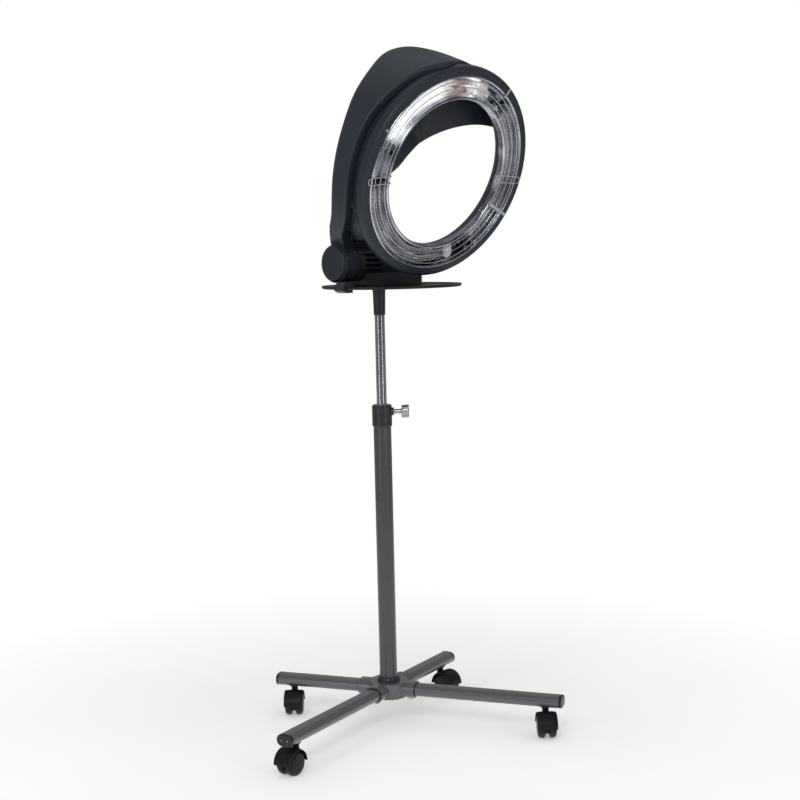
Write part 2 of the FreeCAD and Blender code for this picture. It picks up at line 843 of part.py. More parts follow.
tray_place = Placement(Vector(0, -num("tray_forward"), 0), Rotation())
tray = turned("tray", [
    (ZERO, get("tray_level")),
    (get("tray_radius") - get("tray_lip") * 2, get("tray_level")),
    (get("tray_radius") - get("tray_lip"), get("tray_level") - get("tray_lip") / 3),
    (get("tray_radius"), get("tray_level") + get("tray_lip"), -get("tray_lip") * 1.6),
    (get("tray_radius"), get("tray_level") + get("tray_rim") - get("tray_lip")),
    (get("tray_radius") - get("tray_lip"), get("tray_level") + get("tray_rim") - get("tray_lip")),
    (get("tray_radius") - get("tray_lip") * 2, get("tray_level") + get("tray_floor")),
    (ZERO, get("tray_level") + get("tray_floor")),
])
boss = new_sketch(tray, "XY_Plane", get("tray_level") + get("tray_floor"))
boss_side = get("pedestal_half") + get("tray_boss") + get("end_cover_edge")
rectangle(boss, -get("pedestal_left") - get("tray_boss") - get("end_cover_edge"),
          get("drum_right") + get("end_cover_thickness") + get("tray_boss") + get("end_cover_edge"),
          get("tray_forward") - boss_side, get("tray_forward") + boss_side)
platform = pad(tray, boss, get("tray_boss"))
platform.TaperAngle = -num("tray_boss_flare")
recess = new_sketch(tray, "XY_Plane", get("tray_level") + get("tray_floor"))
recess_reach = get("tray_radius") - get("tray_lip") * 4
recess_edge = get("tray_forward") - get("tray_recess_back")
outline(recess, [(recess_reach * 0.998, recess_edge), (-recess_reach * 0.998, recess_edge, recess_reach)])
pocket(tray, recess, get("tray_recess"))
node(tray, "tool_tray", tray_place)


def make_rim_clip():
    """Lobed black clip that grips the tray's rim at its left."""
    reach = get("tray_radius")
    low = get("tray_level")
    body = new_body("rim_clip")
    section = new_sketch(body, "XZ_Plane")
    jaw = get("clip_edge") / 2
    outline(section, [
        (reach - get("clip_arm"), low - get("clip_height") / 2),
        (reach - get("clip_edge"), low - get("clip_height") / 2),
        (reach + get("clip_edge"), low - get("tray_lip")),
        (reach + get("clip_edge"), low + get("tray_rim")),
        (reach - get("clip_edge"), low + get("clip_height")),
        (reach - get("clip_arm"), low + get("tray_rim") + jaw),
        (reach - get("clip_arm"), low + get("tray_rim") - get("tray_lip")),
        (reach + get("body_gap"), low + get("tray_rim") - get("tray_lip")),
        (reach + get("body_gap"), low - get("tray_lip") / 3 - get("body_gap")),
        (reach - get("clip_arm"), low - get("tray_lip") / 3 - get("body_gap")),
    ])
    pad(body, section, get("clip_width"), both_ways=True)
    turn = Placement(Vector(0, -num("tray_forward"), 0), Rotation(Vector(0, 0, 1), 183.0))
    return node(body, "tray_rim_clip", turn)


make_rim_clip()


# Drum housing

drum_drop = get("axis_level") - get("tray_level") - get("tray_floor") - get("tray_boss")


def pedestal_outline(sketch, inset):
    """A round drum that runs down into a straight-sided pedestal."""
    radius = get("drum_radius") - inset
    half = get("pedestal_half") - inset
    side = math.sqrt(radius.value ** 2 - half.value ** 2)
    drop = Size(side, "sqrt(%s ^ 2 - %s ^ 2)" % (radius.text, half.text))
    floor = -drum_drop + inset
    outline(sketch, [
        (-half, floor),
        (half, floor),
        (half, -drop),
        (ZERO, radius, -radius),
        (-half, -drop, -radius),
    ])


def make_drum():
    """Black housing: a drum on a pedestal, hollow, with louvres at its left front."""
    body = new_body("drum")
    wall = get("drum_wall")
    shell = new_sketch(body, "YZ_Plane", -get("pedestal_left"))
    pedestal_outline(shell, ZERO)
    pad(body, shell, get("pedestal_left") + get("drum_right"))
    neck = new_sketch(body, "YZ_Plane", -get("drum_left"))
    circle(neck, get("drum_radius"))
    pad(body, neck, get("drum_left") - get("pedestal_left") + get("drum_wall"))
    hollow = new_sketch(body, "YZ_Plane", -get("pedestal_left") + wall)
    pedestal_outline(hollow, wall)
    pocket(body, hollow, get("pedestal_left") + get("drum_right"), forward=True)
    chamber = new_sketch(body, "YZ_Plane", -get("drum_left") + wall)
    circle(chamber, get("drum_radius") - wall)
    pocket(body, chamber, get("drum_left"), forward=True)
    bore = new_sketch(body, "YZ_Plane", -get("drum_left"))
    circle(bore, get("tilt_bush_radius"))
    pocket(body, bore, wall + get("cut_overrun"), forward=True)
    turns = [num("louvre_turn") * (number - 1.5) for number in range(4)]
    left = -get("louvre_left")
    right = get("louvre_length") - get("louvre_left")
    half = get("louvre_height") / 2
    proud = get("louvre_lip")
    for turn in turns:
        lip = new_sketch(body, "XZ_Plane", turn=turn, about=Vector(1, 0, 0))
        rectangle(lip, left - proud, right + proud, half, half + proud * 1.5)
        pad(body, lip, get("drum_radius") + proud)
    clear = new_sketch(body, "YZ_Plane", -get("drum_left") + wall)
    circle(clear, get("drum_radius") - wall)
    pocket(body, clear, get("drum_left"), forward=True)
    for turn in turns:
        slot = new_sketch(body, "XZ_Plane", turn=turn, about=Vector(1, 0, 0))
        rectangle(slot, left, right, -half, half)
        pocket(body, slot, get("drum_radius") + proud * 2, forward=True)
    return node(body, "drum_housing", Placement(Vector(0, 0, num("axis_level")), Rotation()))


make_drum()


def make_end_cover():
    """Cover on the drum's right end, with the openings for the timer, the switch and the inlet."""
    body = new_body("end_cover")
    start = get("drum_right")
    step = get("end_cover_edge")
    face = new_sketch(body, "YZ_Plane", start)
    pedestal_outline(face, ZERO)
    pad(body, face, get("end_cover_thickness") - step)
    raised = new_sketch(body, "YZ_Plane", start + get("end_cover_thickness") - step)
    pedestal_outline(raised, step)
    pad(body, raised, step)
    depth = get("end_cover_thickness") + get("cut_overrun")
    shaft = new_sketch(body, "YZ_Plane", start)
    circle(shaft, get("timer_shaft_radius") + get("body_gap"), ZERO, get("timer_level"))
    pocket(body, shaft, depth, forward=True)
    for level, width, height in (
        (get("switch_level"), get("switch_width") + get("switch_gap") * 2, get("switch_height") + get("body_gap") * 2),
        (get("inlet_level"), get("inlet_width"), get("inlet_height")),
    ):
        hole = new_sketch(body, "YZ_Plane", start)
        rectangle(hole, -width / 2, width / 2, -level - height / 2, -level + height / 2)
        pocket(body, hole, depth, forward=True)
    return node(body, "drum_end_cover", Placement(Vector(0, 0, num("axis_level")), Rotation()))


make_end_cover()

axis_place = Placement(Vector(0, 0, num("axis_level")), Rotation())
cover_face = get("drum_right") + get("end_cover_thickness")


def make_timer_knob():
    """Tapered dial knob with a pointer ridge, on the timer's shaft."""
    low = cover_face + get("body_gap")
    high = low + get("timer_knob_height")
    body = turned("timer_knob", [
        (get("drum_right") + get("body_gap"), ZERO),
        (get("drum_right") + get("body_gap"), get("timer_shaft_radius")),
        (low, get("timer_shaft_radius")),
        (low, get("timer_knob_radius")),
        (low + get("timer_knob_taper"), get("timer_knob_radius")),
        (high - get("timer_knob_taper"), get("timer_knob_radius") - get("timer_knob_taper")),
        (high, get("timer_knob_radius") - get("timer_knob_taper") * 2),
        (high, ZERO),
    ], "XY_Plane", "H_Axis")
    ridge = new_sketch(body, "YZ_Plane", high)
    half = get("timer_knob_taper")
    rectangle(ridge, -half, half, ZERO, get("timer_knob_radius") - get("timer_knob_taper") * 2)
    pad(body, ridge, get("timer_knob_taper") / 2)
    place = Placement(Vector(0, 0, num("axis_level") + num("timer_level")), Rotation())
    return node(body, "timer_knob", place)


make_timer_knob()


def make_timer():
    """Timer behind the cover, with the shaft that carries the knob."""
    depth = get("timer_body_depth")
    half = get("timer_body_half")
    shell = block("timer_body", depth, half * 2, half * 2)
    level = num("axis_level") + num("timer_level")
    corner = Vector(num("drum_right") - depth.value, -half.value, level - half.value)
    return node(shell, "timer_unit", Placement(corner, Rotation()))


make_timer()


def make_switch():
    """Rocker of the power switch: two faces that meet in a shallow valley, and the bore of its pivot."""
    body = new_body("switch")
    side = new_sketch(body, "XZ_Plane")
    half = get("switch_width") / 2
    back = cover_face - get("switch_depth")
    outline(side, [
        (back, -half),
        (cover_face + get("switch_proud"), -half),
        (cover_face + get("switch_proud") / 2, ZERO),
        (cover_face + get("switch_proud"), half),
        (back, half),
    ])
    pad(body, side, get("switch_height"), both_ways=True)
    pivot = new_sketch(body, "XZ_Plane")
    circle(pivot, get("switch_pivot_radius"), cover_face - get("switch_pivot_inset"))
    pocket(body, pivot, get("switch_height") + get("cut_overrun"), both_ways=True)
    turn = Rotation(Vector(1, 0, 0), 90.0)
    return node(body, "power_switch", Placement(Vector(0, 0, num("axis_level") - num("switch_level")), turn))


make_switch()


def make_inlet():
    """Recessed power inlet with three flat pins."""
    body = new_body("inlet")
    half = get("inlet_width") / 2
    tall = get("inlet_height") / 2
    back = cover_face - get("inlet_depth")
    shell = new_sketch(body, "YZ_Plane", back)
    rectangle(shell, -half, half, -tall, tall)
    pad(body, shell, get("inlet_depth"))
    flange = new_sketch(body, "YZ_Plane", cover_face)
    edge = get("inlet_flange")
    rectangle(flange, -half - edge, half + edge, -tall - edge / 2, tall + edge / 2)
    pad(body, flange, get("inlet_wall"))
    hollow = new_sketch(body, "YZ_Plane", back + get("inlet_wall"))
    rim = get("inlet_wall")
    rectangle(hollow, -half + rim, half - rim, -tall + rim, tall - rim)
    pocket(body, hollow, get("inlet_depth") + get("cut_overrun"), forward=True)
    pins = new_sketch(body, "YZ_Plane", back)
    thick = get("inlet_pin")
    for across, up in ((-half / 2, -tall / 4), (ZERO, tall / 4), (half / 2, -tall / 4)):
        rectangle(pins, across - thick, across + thick, up - thick * 2, up + thick * 2)
    pad(body, pins, get("inlet_depth") - get("inlet_wall"))
    return node(body, "power_inlet", Placement(Vector(0, 0, num("axis_level") - num("inlet_level")), Rotation()))


make_inlet()


# Tilt hinge

bush_start = -get("drum_left")
node(turned("tilt_bush", [
    (bush_start, get("tilt_axle_radius") + get("slide_gap") / 2),
    (bush_start + get("tilt_bush_length"), get("tilt_axle_radius") + get("slide_gap") / 2),
    (bush_start + get("tilt_bush_length"), get("tilt_bush_radius") + get("drum_wall")),
    (bush_start + get("drum_wall"), get("tilt_bush_radius") + get("drum_wall")),
    (bush_start + get("drum_wall"), get("tilt_bush_radius")),
    (bush_start, get("tilt_bush_radius")),
], "XY_Plane", "H_Axis"), "tilt_bush", axis_place)

ring_left = -get("barrel_end") + get("body_gap")
ring_right = -get("drum_left")
node(turned("friction_ring", [
    (ring_left, get("tilt_axle_radius") + get("body_gap")),
    (ring_right, get("tilt_axle_radius") + get("body_gap")),
    (ring_right, get("friction_ring_radius")),
    (ring_left + get("collar_edge"), get("friction_ring_radius")),
    (ring_left, get("friction_ring_radius") - get("collar_edge")),
], "XY_Plane", "H_Axis"), "friction_ring", axis_place)

barrel_start = -get("hub_disc_face") + get("hub_disc_depth")
node(turned("tilt_axle", [
    (barrel_start, ZERO),
    (-get("tilt_axle_end"), ZERO),
    (-get("tilt_axle_end"), get("tilt_axle_radius") - get("collar_edge") / 2),
    (-get("tilt_axle_end") - get("collar_edge") / 2, get("tilt_axle_radius")),
    (barrel_start, get("tilt_axle_radius")),
], "XY_Plane", "H_Axis"), "tilt_axle", axis_place)

node(turned("hub_cover", [
    (-get("hub_disc_face"), ZERO),
    (barrel_start, ZERO),
    (barrel_start, get("hub_disc_radius")),
    (-get("hub_disc_face") + get("hub_disc_edge"), get("hub_disc_radius")),
    (-get("hub_disc_face"), get("hub_disc_radius") - get("hub_disc_edge"), -get("hub_disc_edge")),
], "XY_Plane", "H_Axis"), "hub_cover", axis_place)


# Ring head, drawn with the ring's axis along Y and its front plane at y = 0

head_place = Placement(Vector(0, 0, num("axis_level")), Rotation(Vector(1, 0, 0), num("head_tilt"))).multiply(
    Placement(Vector(0, -num("ring_forward"), num("ring_up")), Rotation()))


def along_ring(name, points):
    """A piece turned about the ring's axis. Points are (radius, depth behind the front plane)."""
    return turned(name, points, "XY_Plane", "V_Axis")


def hood_points(angle, radius, depth):
    """A point of the head: angle in degrees clockwise from the ring's top, seen from in front."""
    turn = math.radians(angle)
    return Vector(radius * math.sin(turn), depth, radius * math.cos(turn))


# Stations of the hood along the ring: angle in degrees, then its outer radius, the depths of its front
# and back edges and the depth of its free edge, each as a share of the hood's radius
HOOD_SHARES = (
    (66.0, 0.900, 0.221, 0.262, 0.262),
    (54.0, 0.908, 0.215, 0.290, 0.290),
    (42.0, 0.918, 0.212, 0.330, 0.320),
    (30.0, 0.930, 0.210, 0.375, 0.350),
    (16.0, 0.945, 0.205, 0.430, 0.375),
    (2.0, 0.968, 0.200, 0.505, 0.390),
    (-7.0, 0.990, 0.100, 0.590, 0.395),
    (-14.0, 1.006, 0.044, 0.670, 0.400),
    (-26.0, 1.012, 0.085, 0.728, 0.400),
    (-40.0, 1.006, 0.130, 0.655, 0.400),
    (-55.0, 1.006, 0.168, 0.575, 0.400),
    (-70.0, 1.006, 0.184, 0.492, 0.400),
    (-85.0, 1.006, 0.180, 0.446, 0.400),
    (-100.0, 1.004, 0.178, 0.438, 0.400),
    (-114.0, 1.000, 0.212, 0.470, 0.430),
    (-127.0, 1.005, 0.305, 0.560, 0.500),
    (-139.0, 1.015, 0.428, 0.690, 0.620),
)


# The ring's round back is an arc of this many times its width
RING_BEND = 1.02
RING_ROUND = 1.1


def free_edge(angle):
    """Radius at which the round opening behind the head cuts the hood."""
    turn = math.radians(angle)
    across = num("hood_opening_across")
    below = num("hood_opening_below")
    reach = num("hood_opening_radius")
    near = across * math.sin(turn) - below * math.cos(turn)
    return near + math.sqrt(near ** 2 + reach ** 2 - across ** 2 - below ** 2)


def lip_radius(radius, depth):
    """Inner radius of the hood's front lip, which keeps clear of the round back of the ring."""
    width = num("ring_outer_radius") - num("ring_back_radius")
    length = num("ring_back_depth") - num("ring_outer_depth")
    bend = width * RING_BEND
    half = math.hypot(width, length) / 2
    inward = math.sqrt(bend ** 2 - half ** 2) / half / 2
    middle = (num("ring_outer_radius") + num("ring_back_radius")) / 2 - length * inward
    level = (num("ring_outer_depth") + num("ring_back_depth")) / 2 - width * inward
    behind = max(depth - level, 0.0)
    ring = middle + math.sqrt(max(bend ** 2 - behind ** 2, 0.0))
    lowest = num("skirt_radius") + num("ring_wall")
    return min(max(ring + num("lip_gap"), lowest), radius - num("hood_thickness") * 2)


def hood_section(angle, radius, front_depth, back_depth, edge_depth):
    """Closed wire across the hood: lip, outer wall, rounded corner, back wall and its free edge."""
    wall = num("hood_thickness")
    edge = free_edge(angle)
    corner = min(num("hood_corner"), (back_depth - front_depth) / 2, (radius - edge) / 2)
    lip = lip_radius(radius, front_depth)
    ridge = min(num("hood_ridge"), (radius - lip) / 2)
    ridge_middle = Vector(radius, front_depth, 0) + Vector(-ridge, ridge, 0) * (1 - math.sqrt(0.5))
    slope = math.atan2(back_depth - edge_depth, radius - edge)
    bend = math.tan((math.pi / 2 + slope) / 2) * corner
    run = Vector(-math.cos(slope), -math.sin(slope), 0)
    tip = Vector(radius, back_depth, 0)
    side = tip + Vector(0, -bend, 0)
    back = tip + run * bend
    centre = side + Vector(-corner, 0, 0)
    middle = (side + back) / 2 - centre
    middle = middle.normalize()
    inner = corner - wall
    normal = Vector(-run.y, run.x, 0)
    if normal.y > 0:
        normal = -normal
    edge_out = Vector(edge, edge_depth, 0)
    edge_in = edge_out + normal * wall
    inner_back = back + normal * wall
    flat = [
        ("line", Vector(lip, front_depth, 0), Vector(radius - ridge, front_depth, 0)),
        ("arc", Vector(radius - ridge, front_depth, 0), ridge_middle, Vector(radius, front_depth + ridge, 0)),
        ("line", Vector(radius, front_depth + ridge, 0), side),
        ("arc", side, centre + middle * corner, back),
        ("line", back, edge_out),
        ("line", edge_out, edge_in),
        ("line", edge_in, inner_back),
        ("arc", inner_back, centre + middle * inner, side + Vector(-wall, 0, 0)),
        ("line", side + Vector(-wall, 0, 0), Vector(radius - wall, front_depth + wall, 0)),
        ("line", Vector(radius - wall, front_depth + wall, 0), Vector(lip, front_depth + wall, 0)),
        ("line", Vector(lip, front_depth + wall, 0), Vector(lip, front_depth, 0)),
    ]
    edges = []
    for kind, *points in flat:
        spots = [hood_points(angle, point.x, point.y) for point in points]
        curve = Part.Arc(*spots) if kind == "arc" else Part.LineSegment(*spots)
        edges.append(curve.toShape())
    return Part.Wire(edges)


def hood_shell():
    """The sickle-shaped hood, from behind the ring's right shoulder round to the hub barrel."""
    reach = num("hood_radius")
    wires = [hood_section(station[0], *[share * reach for share in station[1:]]) for station in HOOD_SHARES]
    shell = Part.makeLoft(wires, True, False)
    return shell


def barrel():
    """Barrel on the tilt axle, to which the arm comes down."""
    axis = Vector(0, num("ring_forward"), -num("ring_up"))
    start = axis + Vector(barrel_start.value, 0, 0)
    length = -num("barrel_end") - barrel_start.value
    outer = Part.makeCylinder(num("hub_disc_radius"), length, start, Vector(1, 0, 0))
    bore = Part.makeCylinder(num("tilt_axle_radius"), length, start, Vector(1, 0, 0))
    return outer, bore


def cover_seat():
    """Room for the hub cover in the arm's outer side."""
    start = Vector(-num("hub_disc_face") - num("cut_overrun"), num("ring_forward"), -num("ring_up"))
    length = num("hub_disc_depth") + num("cut_overrun")
    return Part.makeCylinder(num("hub_disc_radius") + num("body_gap"), length, start, Vector(1, 0, 0))


def drum_clearance():
    """Room for the drum, past which the arm turns."""
    start = Vector(-num("barrel_end"), num("ring_forward"), -num("ring_up"))
    length = num("drum_left") + num("drum_right")
    return Part.makeCylinder(num("drum_radius") + num("drum_clearance"), length, start, Vector(1, 0, 0))


def rounded_section(corners, radius):
    """Closed wire through four corners of which the third, at the back of the outer side, is rounded."""
    inner_front, outer_front, outer_back, inner_back = corners
    toward_front = (outer_front - outer_back).normalize()
    toward_inside = (inner_back - outer_back).normalize()
    start = outer_back + toward_front * radius
    end = outer_back + toward_inside * radius
    middle = outer_back + (toward_front + toward_inside) * radius * (1 - math.sqrt(0.5))
    return Part.Wire([
        Part.LineSegment(inner_front, outer_front).toShape(),
        Part.LineSegment(outer_front, start).toShape(),
        Part.Arc(start, middle, end).toShape(),
        Part.LineSegment(end, inner_back).toShape(),
        Part.LineSegment(inner_back, inner_front).toShape(),
    ])


def arm_foot():
    """The arm's lower end: it turns from the hood's last station down into the barrel."""
    reach = num("hood_radius")
    angle, outer, front_depth, back_depth, edge_depth = HOOD_SHARES[-1]
    edge = free_edge(angle)
    corner = min(num("hood_corner"), (back_depth - front_depth) * reach / 2, (outer * reach - edge) / 2)
    sections = [rounded_section([
        hood_points(angle, lip_radius(outer * reach, front_depth * reach), front_depth * reach),
        hood_points(angle, outer * reach, front_depth * reach),
        hood_points(angle, outer * reach, back_depth * reach),
        hood_points(angle, edge, edge_depth * reach),
    ], corner)]
    left = barrel_start.value
    right = -num("barrel_end")
    for rise, front, back in (
        (num("hub_disc_radius"), num("hood_arm_front"), num("hood_arm_back")),
        (num("hub_disc_radius") / 2, num("hood_arm_front"), num("hood_arm_back") - num("hood_arm_taper")),
    ):
        level = rise - num("ring_up")
        sections.append(rounded_section([
            Vector(right, front, level),
            Vector(left, front, level),
            Vector(left, back, level),
            Vector(right, back, level),
        ], num("hood_arm_corner")))
    return Part.makeLoft(sections, True, True)


def make_hood():
    shell = hood_shell()
    outer, bore = barrel()
    whole = shell.fuse([arm_foot(), outer]).cut([bore, cover_seat(), drum_clearance()]).removeSplitter()
    node(shaped("hood", whole), "hood_shell", head_place)
    return whole


hood_shape = make_hood()


def ring_profile():
    """Trough of the ring's housing, open to the front, with a broad flat rim round its mouth."""
    wall = get("ring_wall")
    lip = get("ring_lip_radius")
    face = get("ring_face_radius")
    outer = get("ring_outer_radius")
    turn = get("ring_outer_depth")
    deep = get("ring_back_depth")
    back = get("ring_back_radius")
    inner = get("ring_inner_radius")
    hole = get("ring_hole_radius")
    return [
        (lip, ZERO),
        (face, ZERO),
        (outer, turn, -turn * RING_ROUND),
        (back, deep, -(outer - back) * RING_BEND),
        (inner, get("ring_inner_depth"), -(back - inner) * 1.02),
        (hole, ZERO),
        (hole + wall, ZERO),
        (inner + wall, get("ring_inner_depth")),
        (back, deep - wall, (back - inner - wall) * 1.02),
        (outer - wall, turn, (outer - back - wall) * RING_BEND),
        (lip - wall / 2, wall, (outer - lip) * RING_ROUND),
    ]


housing_ring = along_ring("ring_trough", ring_profile())


def side_skirt():
    """Wall that runs back from the ring's left side to the hood's lip, cut off level above the drum."""
    reach = num("hood_radius")
    wires = []
    lowest = [(angle, 0, HOOD_SHARES[-1][2], 0, 0) for angle in (-148.0, -157.0)]
    for angle, _, front_depth, _, _ in HOOD_SHARES[4:] + tuple(lowest):
        start = num("ring_back_depth") - num("skirt_tuck")
        end = max(front_depth * reach + num("hood_thickness") * 2, start + num("skirt_tuck"))
        corners = [
            hood_points(angle, num("skirt_radius"), start),
            hood_points(angle, num("skirt_radius"), end),
            hood_points(angle, num("skirt_radius") - num("skirt_wall"), end),
            hood_points(angle, num("skirt_radius") - num("skirt_wall"), start),
        ]
        wires.append(Part.makePolygon(corners + corners[:1]))
    wall = Part.makeLoft(wires, True, False)
    return wall.cut(below_level(num("skirt_level"))).cut(drum_clearance())


def below_level(level):
    """Everything of the head that lies lower than this above the tilt axis, with the head at rest."""
    reach = num("hood_radius") * 4
    box = Part.makeBox(reach, reach, reach, Vector(-reach / 2, -reach / 2, level - reach))
    box.rotate(Vector(), Vector(1, 0, 0), -num("head_tilt"))
    box.translate(Vector(0, num("ring_forward"), -num("ring_up")))
    return box


doc.recompute()
skirt_parts = side_skirt().cut(housing_ring.Shape).cut(hood_shape).Solids
skirt_shape = max(skirt_parts, key=lambda part: part.Volume)
housing_shape = housing_ring.Shape.fuse(skirt_shape)
node(housing_ring, "ring_housing", head_place)
node(shaped("skirt", skirt_shape), "ring_skirt", head_place)


def vent_block():
    """Black bridge over the drum, between the arm's foot and the skirt, with two slots along its front."""
    inner = num("drum_radius") + num("drum_clearance")
    outer = num("vent_block_radius")
    length = num("barrel_end") - num("vent_block_right")
    solid = Part.makeCylinder(outer, length, Vector(), Vector(0, 0, 1), num("vent_block_sweep"))
    solid = solid.cut(Part.makeCylinder(inner, length))
    slot = num("vent_slot")
    rest = (outer - inner - slot * 2) / 3
    for start in (inner + rest, inner + rest * 2 + slot):
        solid = solid.cut(Part.makeBox(slot, slot * 3, length - slot * 2, Vector(start, -slot, slot)))
    turn = Rotation(Vector(0, 1, 0), -90.0).multiply(Rotation(Vector(0, 0, 1), -num("vent_block_turn")))
    solid.Placement = Placement(Vector(-num("vent_block_right"), num("ring_forward"), -num("ring_up")), turn)
    rest = solid.cut(housing_shape).cut(hood_shape)
    return max(rest.Solids, key=lambda part: part.Volume)


node(shaped("vent_block", vent_block()), "vent_block", head_place)


def make_reflector():
    """Polished trough inside the housing, stepped into rings that break up the light."""
    wall = get("reflector_wall")
    lip = get("ring_lip_radius") - get("ring_wall") / 2
    hole = get("ring_hole_radius") + get("ring_wall")
    deep = get("ring_back_depth") - get("ring_wall") - get("body_gap") - wall
    step = get("reflector_step")
    width = lip - hole
    shares = ((1.00, 0.00), (0.97, 0.45), (0.88, 0.72), (0.84, 0.68), (0.72, 0.90), (0.67, 0.86), (0.52, 1.00),
              (0.47, 0.96), (0.33, 0.90), (0.28, 0.82), (0.14, 0.62), (0.04, 0.38), (0.00, 0.00))
    face = [(hole + width * across, (deep - step) * depth) for across, depth in shares]
    face[0] = (lip, get("ring_wall"))
    back = [(across, depth + wall) for across, depth in reversed(face)]
    behind = get("ring_back_depth") + get("cut_overrun")
    node(along_ring("reflector", face + back), "ring_reflector", head_place)
    return along_ring("behind_reflector", face + [(hole, behind), (lip, behind)])


behind_reflector = make_reflector()
doc.recompute()


def bracket(angle):
    """Spacer between the ring's side skirt and the inside of the hood."""
    half = num("bracket_width") / 2
    start = num("skirt_radius") - num("skirt_wall")
    depth = num("ring_back_depth") + num("cut_overrun")
    solid = Part.makeBox(half * 2, num("bracket_depth"), num("hood_radius") - start, Vector(-half, depth, start))
    solid.rotate(Vector(), Vector(0, 1, 0), angle)
    rest = solid.cut(housing_shape.fuse(hood_shape))
    middle = (num("skirt_radius") + num("hood_radius")) / 2
    return min(rest.Solids, key=lambda part: abs(math.hypot(part.CenterOfMass.x, part.CenterOfMass.z) - middle))


node(grouped("brackets", [bracket(angle) for angle in BRACKET_ANGLES]), "ring_brackets", head_place)


def torus_arc(radius, thickness, depth, first, last):
    """Bent round bar along the ring between two angles."""
    start = hood_points(first, radius, depth)
    middle = hood_points((first + last) / 2, radius, depth)
    end = hood_points(last, radius, depth)
    path = Part.Wire([Part.Arc(start, middle, end).toShape()])
    turn = math.radians(first)
    section = Part.Wire([Part.makeCircle(thickness, start, Vector(math.cos(turn), 0, -math.sin(turn)))])
    return path.makePipeShell([section], True, False)


for lamp_name, lamp_middle in LAMP_ANGLES.items():
    tubes = []
    for side in (-1, 1):
        radius = num("lamp_mid_radius") + side * num("lamp_spacing") / 2
        half = num("lamp_sweep") / 2
        tubes.append(torus_arc(radius, num("lamp_tube_radius"), num("lamp_depth"), lamp_middle - half, lamp_middle + half))
    node(grouped("lamp_" + lamp_name, tubes), "lamp_" + lamp_name, head_place)


def end_block(angle, way):
    """Ceramic block that holds the ends of a lamp's two tubes and stands in the reflector."""
    length = num("end_block_length")
    width = num("end_block_width")
    front = num("lamp_depth") - num("end_block_height") / 2
    corner = Vector(0.0 if way > 0 else -length, front, num("lamp_mid_radius") - width / 2)
    solid = Part.makeBox(length, num("ring_back_depth") - front, width)
    solid.translate(corner)
    corners = [edge for edge in solid.Edges
               if abs(edge.BoundBox.XMin - edge.BoundBox.XMax) < num("slide_gap")
               and (edge.BoundBox.XMax > length / 2 or edge.BoundBox.XMin < -length / 2)
               and edge.BoundBox.YLength > num("slide_gap")]
    solid = solid.makeFillet(num("end_block_edge"), corners)
    solid.rotate(Vector(), Vector(0, 1, 0), angle)
    return max(solid.cut(behind_reflector.Shape).Solids, key=lambda part: part.Volume)


blocks = []
for lamp_middle in LAMP_ANGLES.values():
    half = num("lamp_sweep") / 2
    blocks.append(end_block(lamp_middle + half, 1))
    blocks.append(end_block(lamp_middle - half, -1))
node(grouped("end_blocks", blocks), "lamp_end_blocks", head_place)


def guard_rings():
    """Round wires in front of the lamps."""
    rings = []
    for place in (-1, 0, 1):
        radius = num("lamp_mid_radius") + place * num("guard_spacing")
        depth = num("guard_wire_radius") - num("weld_depth")
        rings.append(Part.makeTorus(radius, num("guard_wire_radius"), Vector(0, depth, 0), Vector(0, 1, 0)))
    return rings


node(grouped("guard", guard_rings()), "lamp_guard_wires", head_place)


def strut(angle):
    """Hairpin wire across the ring's front: two legs and a loop past the outer lip."""
    wire = num("strut_wire_radius")
    loop = num("strut_loop_radius")
    depth = -wire
    low = num("ring_hole_radius") + num("ring_wall") / 2
    high = num("ring_lip_radius") + num("strut_overhang")
    path = Part.Wire([
        Part.LineSegment(Vector(-loop, depth, low), Vector(-loop, depth, high)).toShape(),
        Part.Arc(Vector(-loop, depth, high), Vector(0, depth, high + loop), Vector(loop, depth, high)).toShape(),
        Part.LineSegment(Vector(loop, depth, high), Vector(loop, depth, low)).toShape(),
    ])
    section = Part.Wire([Part.makeCircle(wire, Vector(-loop, depth, low), Vector(0, 0, 1))])
    solid = path.makePipeShell([section], True, False)
    solid.rotate(Vector(), Vector(0, 1, 0), angle)
    return solid


node(grouped("struts", [strut(angle) for angle in STRUT_ANGLES]), "guard_struts", head_place)


def lip_clip(angle):
    """Small spring clip that holds the reflector on the ring's outer lip."""
    width = num("clip_length")
    thick = num("clip_thickness")
    low = num("ring_lip_radius") - width / 2
    solid = Part.makeBox(width * 0.8, thick, width * 1.4, Vector(-width * 0.4, -thick, low))
    solid.rotate(Vector(), Vector(0, 1, 0), angle)
    return solid


node(grouped("clips", [lip_clip(angle) for angle in CLIP_ANGLES]), "reflector_clips", head_place)

# Check everything, then write one file for each sub-part

doc.recompute()
for thing in doc.Objects:
    if "Invalid" in thing.State or "Error" in thing.State:
        raise RuntimeError("%s failed: %s" % (thing.Label, thing.State))
os.makedirs("parts", exist_ok=True)
bad = []
for thing in nodes:
    shape = thing.Shape
    if shape.isNull() or not shape.isValid() or not shape.Solids:
        bad.append(thing.Label)
        continue
    shape.exportStep("parts/%s.step" % thing.Label)
if bad:
    raise RuntimeError("no sound solid: %s" % ", ".join(bad))
print("%d nodes written" % len(nodes))
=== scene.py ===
import json
import math
import random

import bmesh
import bpy
from bpy.props import FloatProperty, FloatVectorProperty, IntProperty, PointerProperty
from mathutils import Matrix, Vector


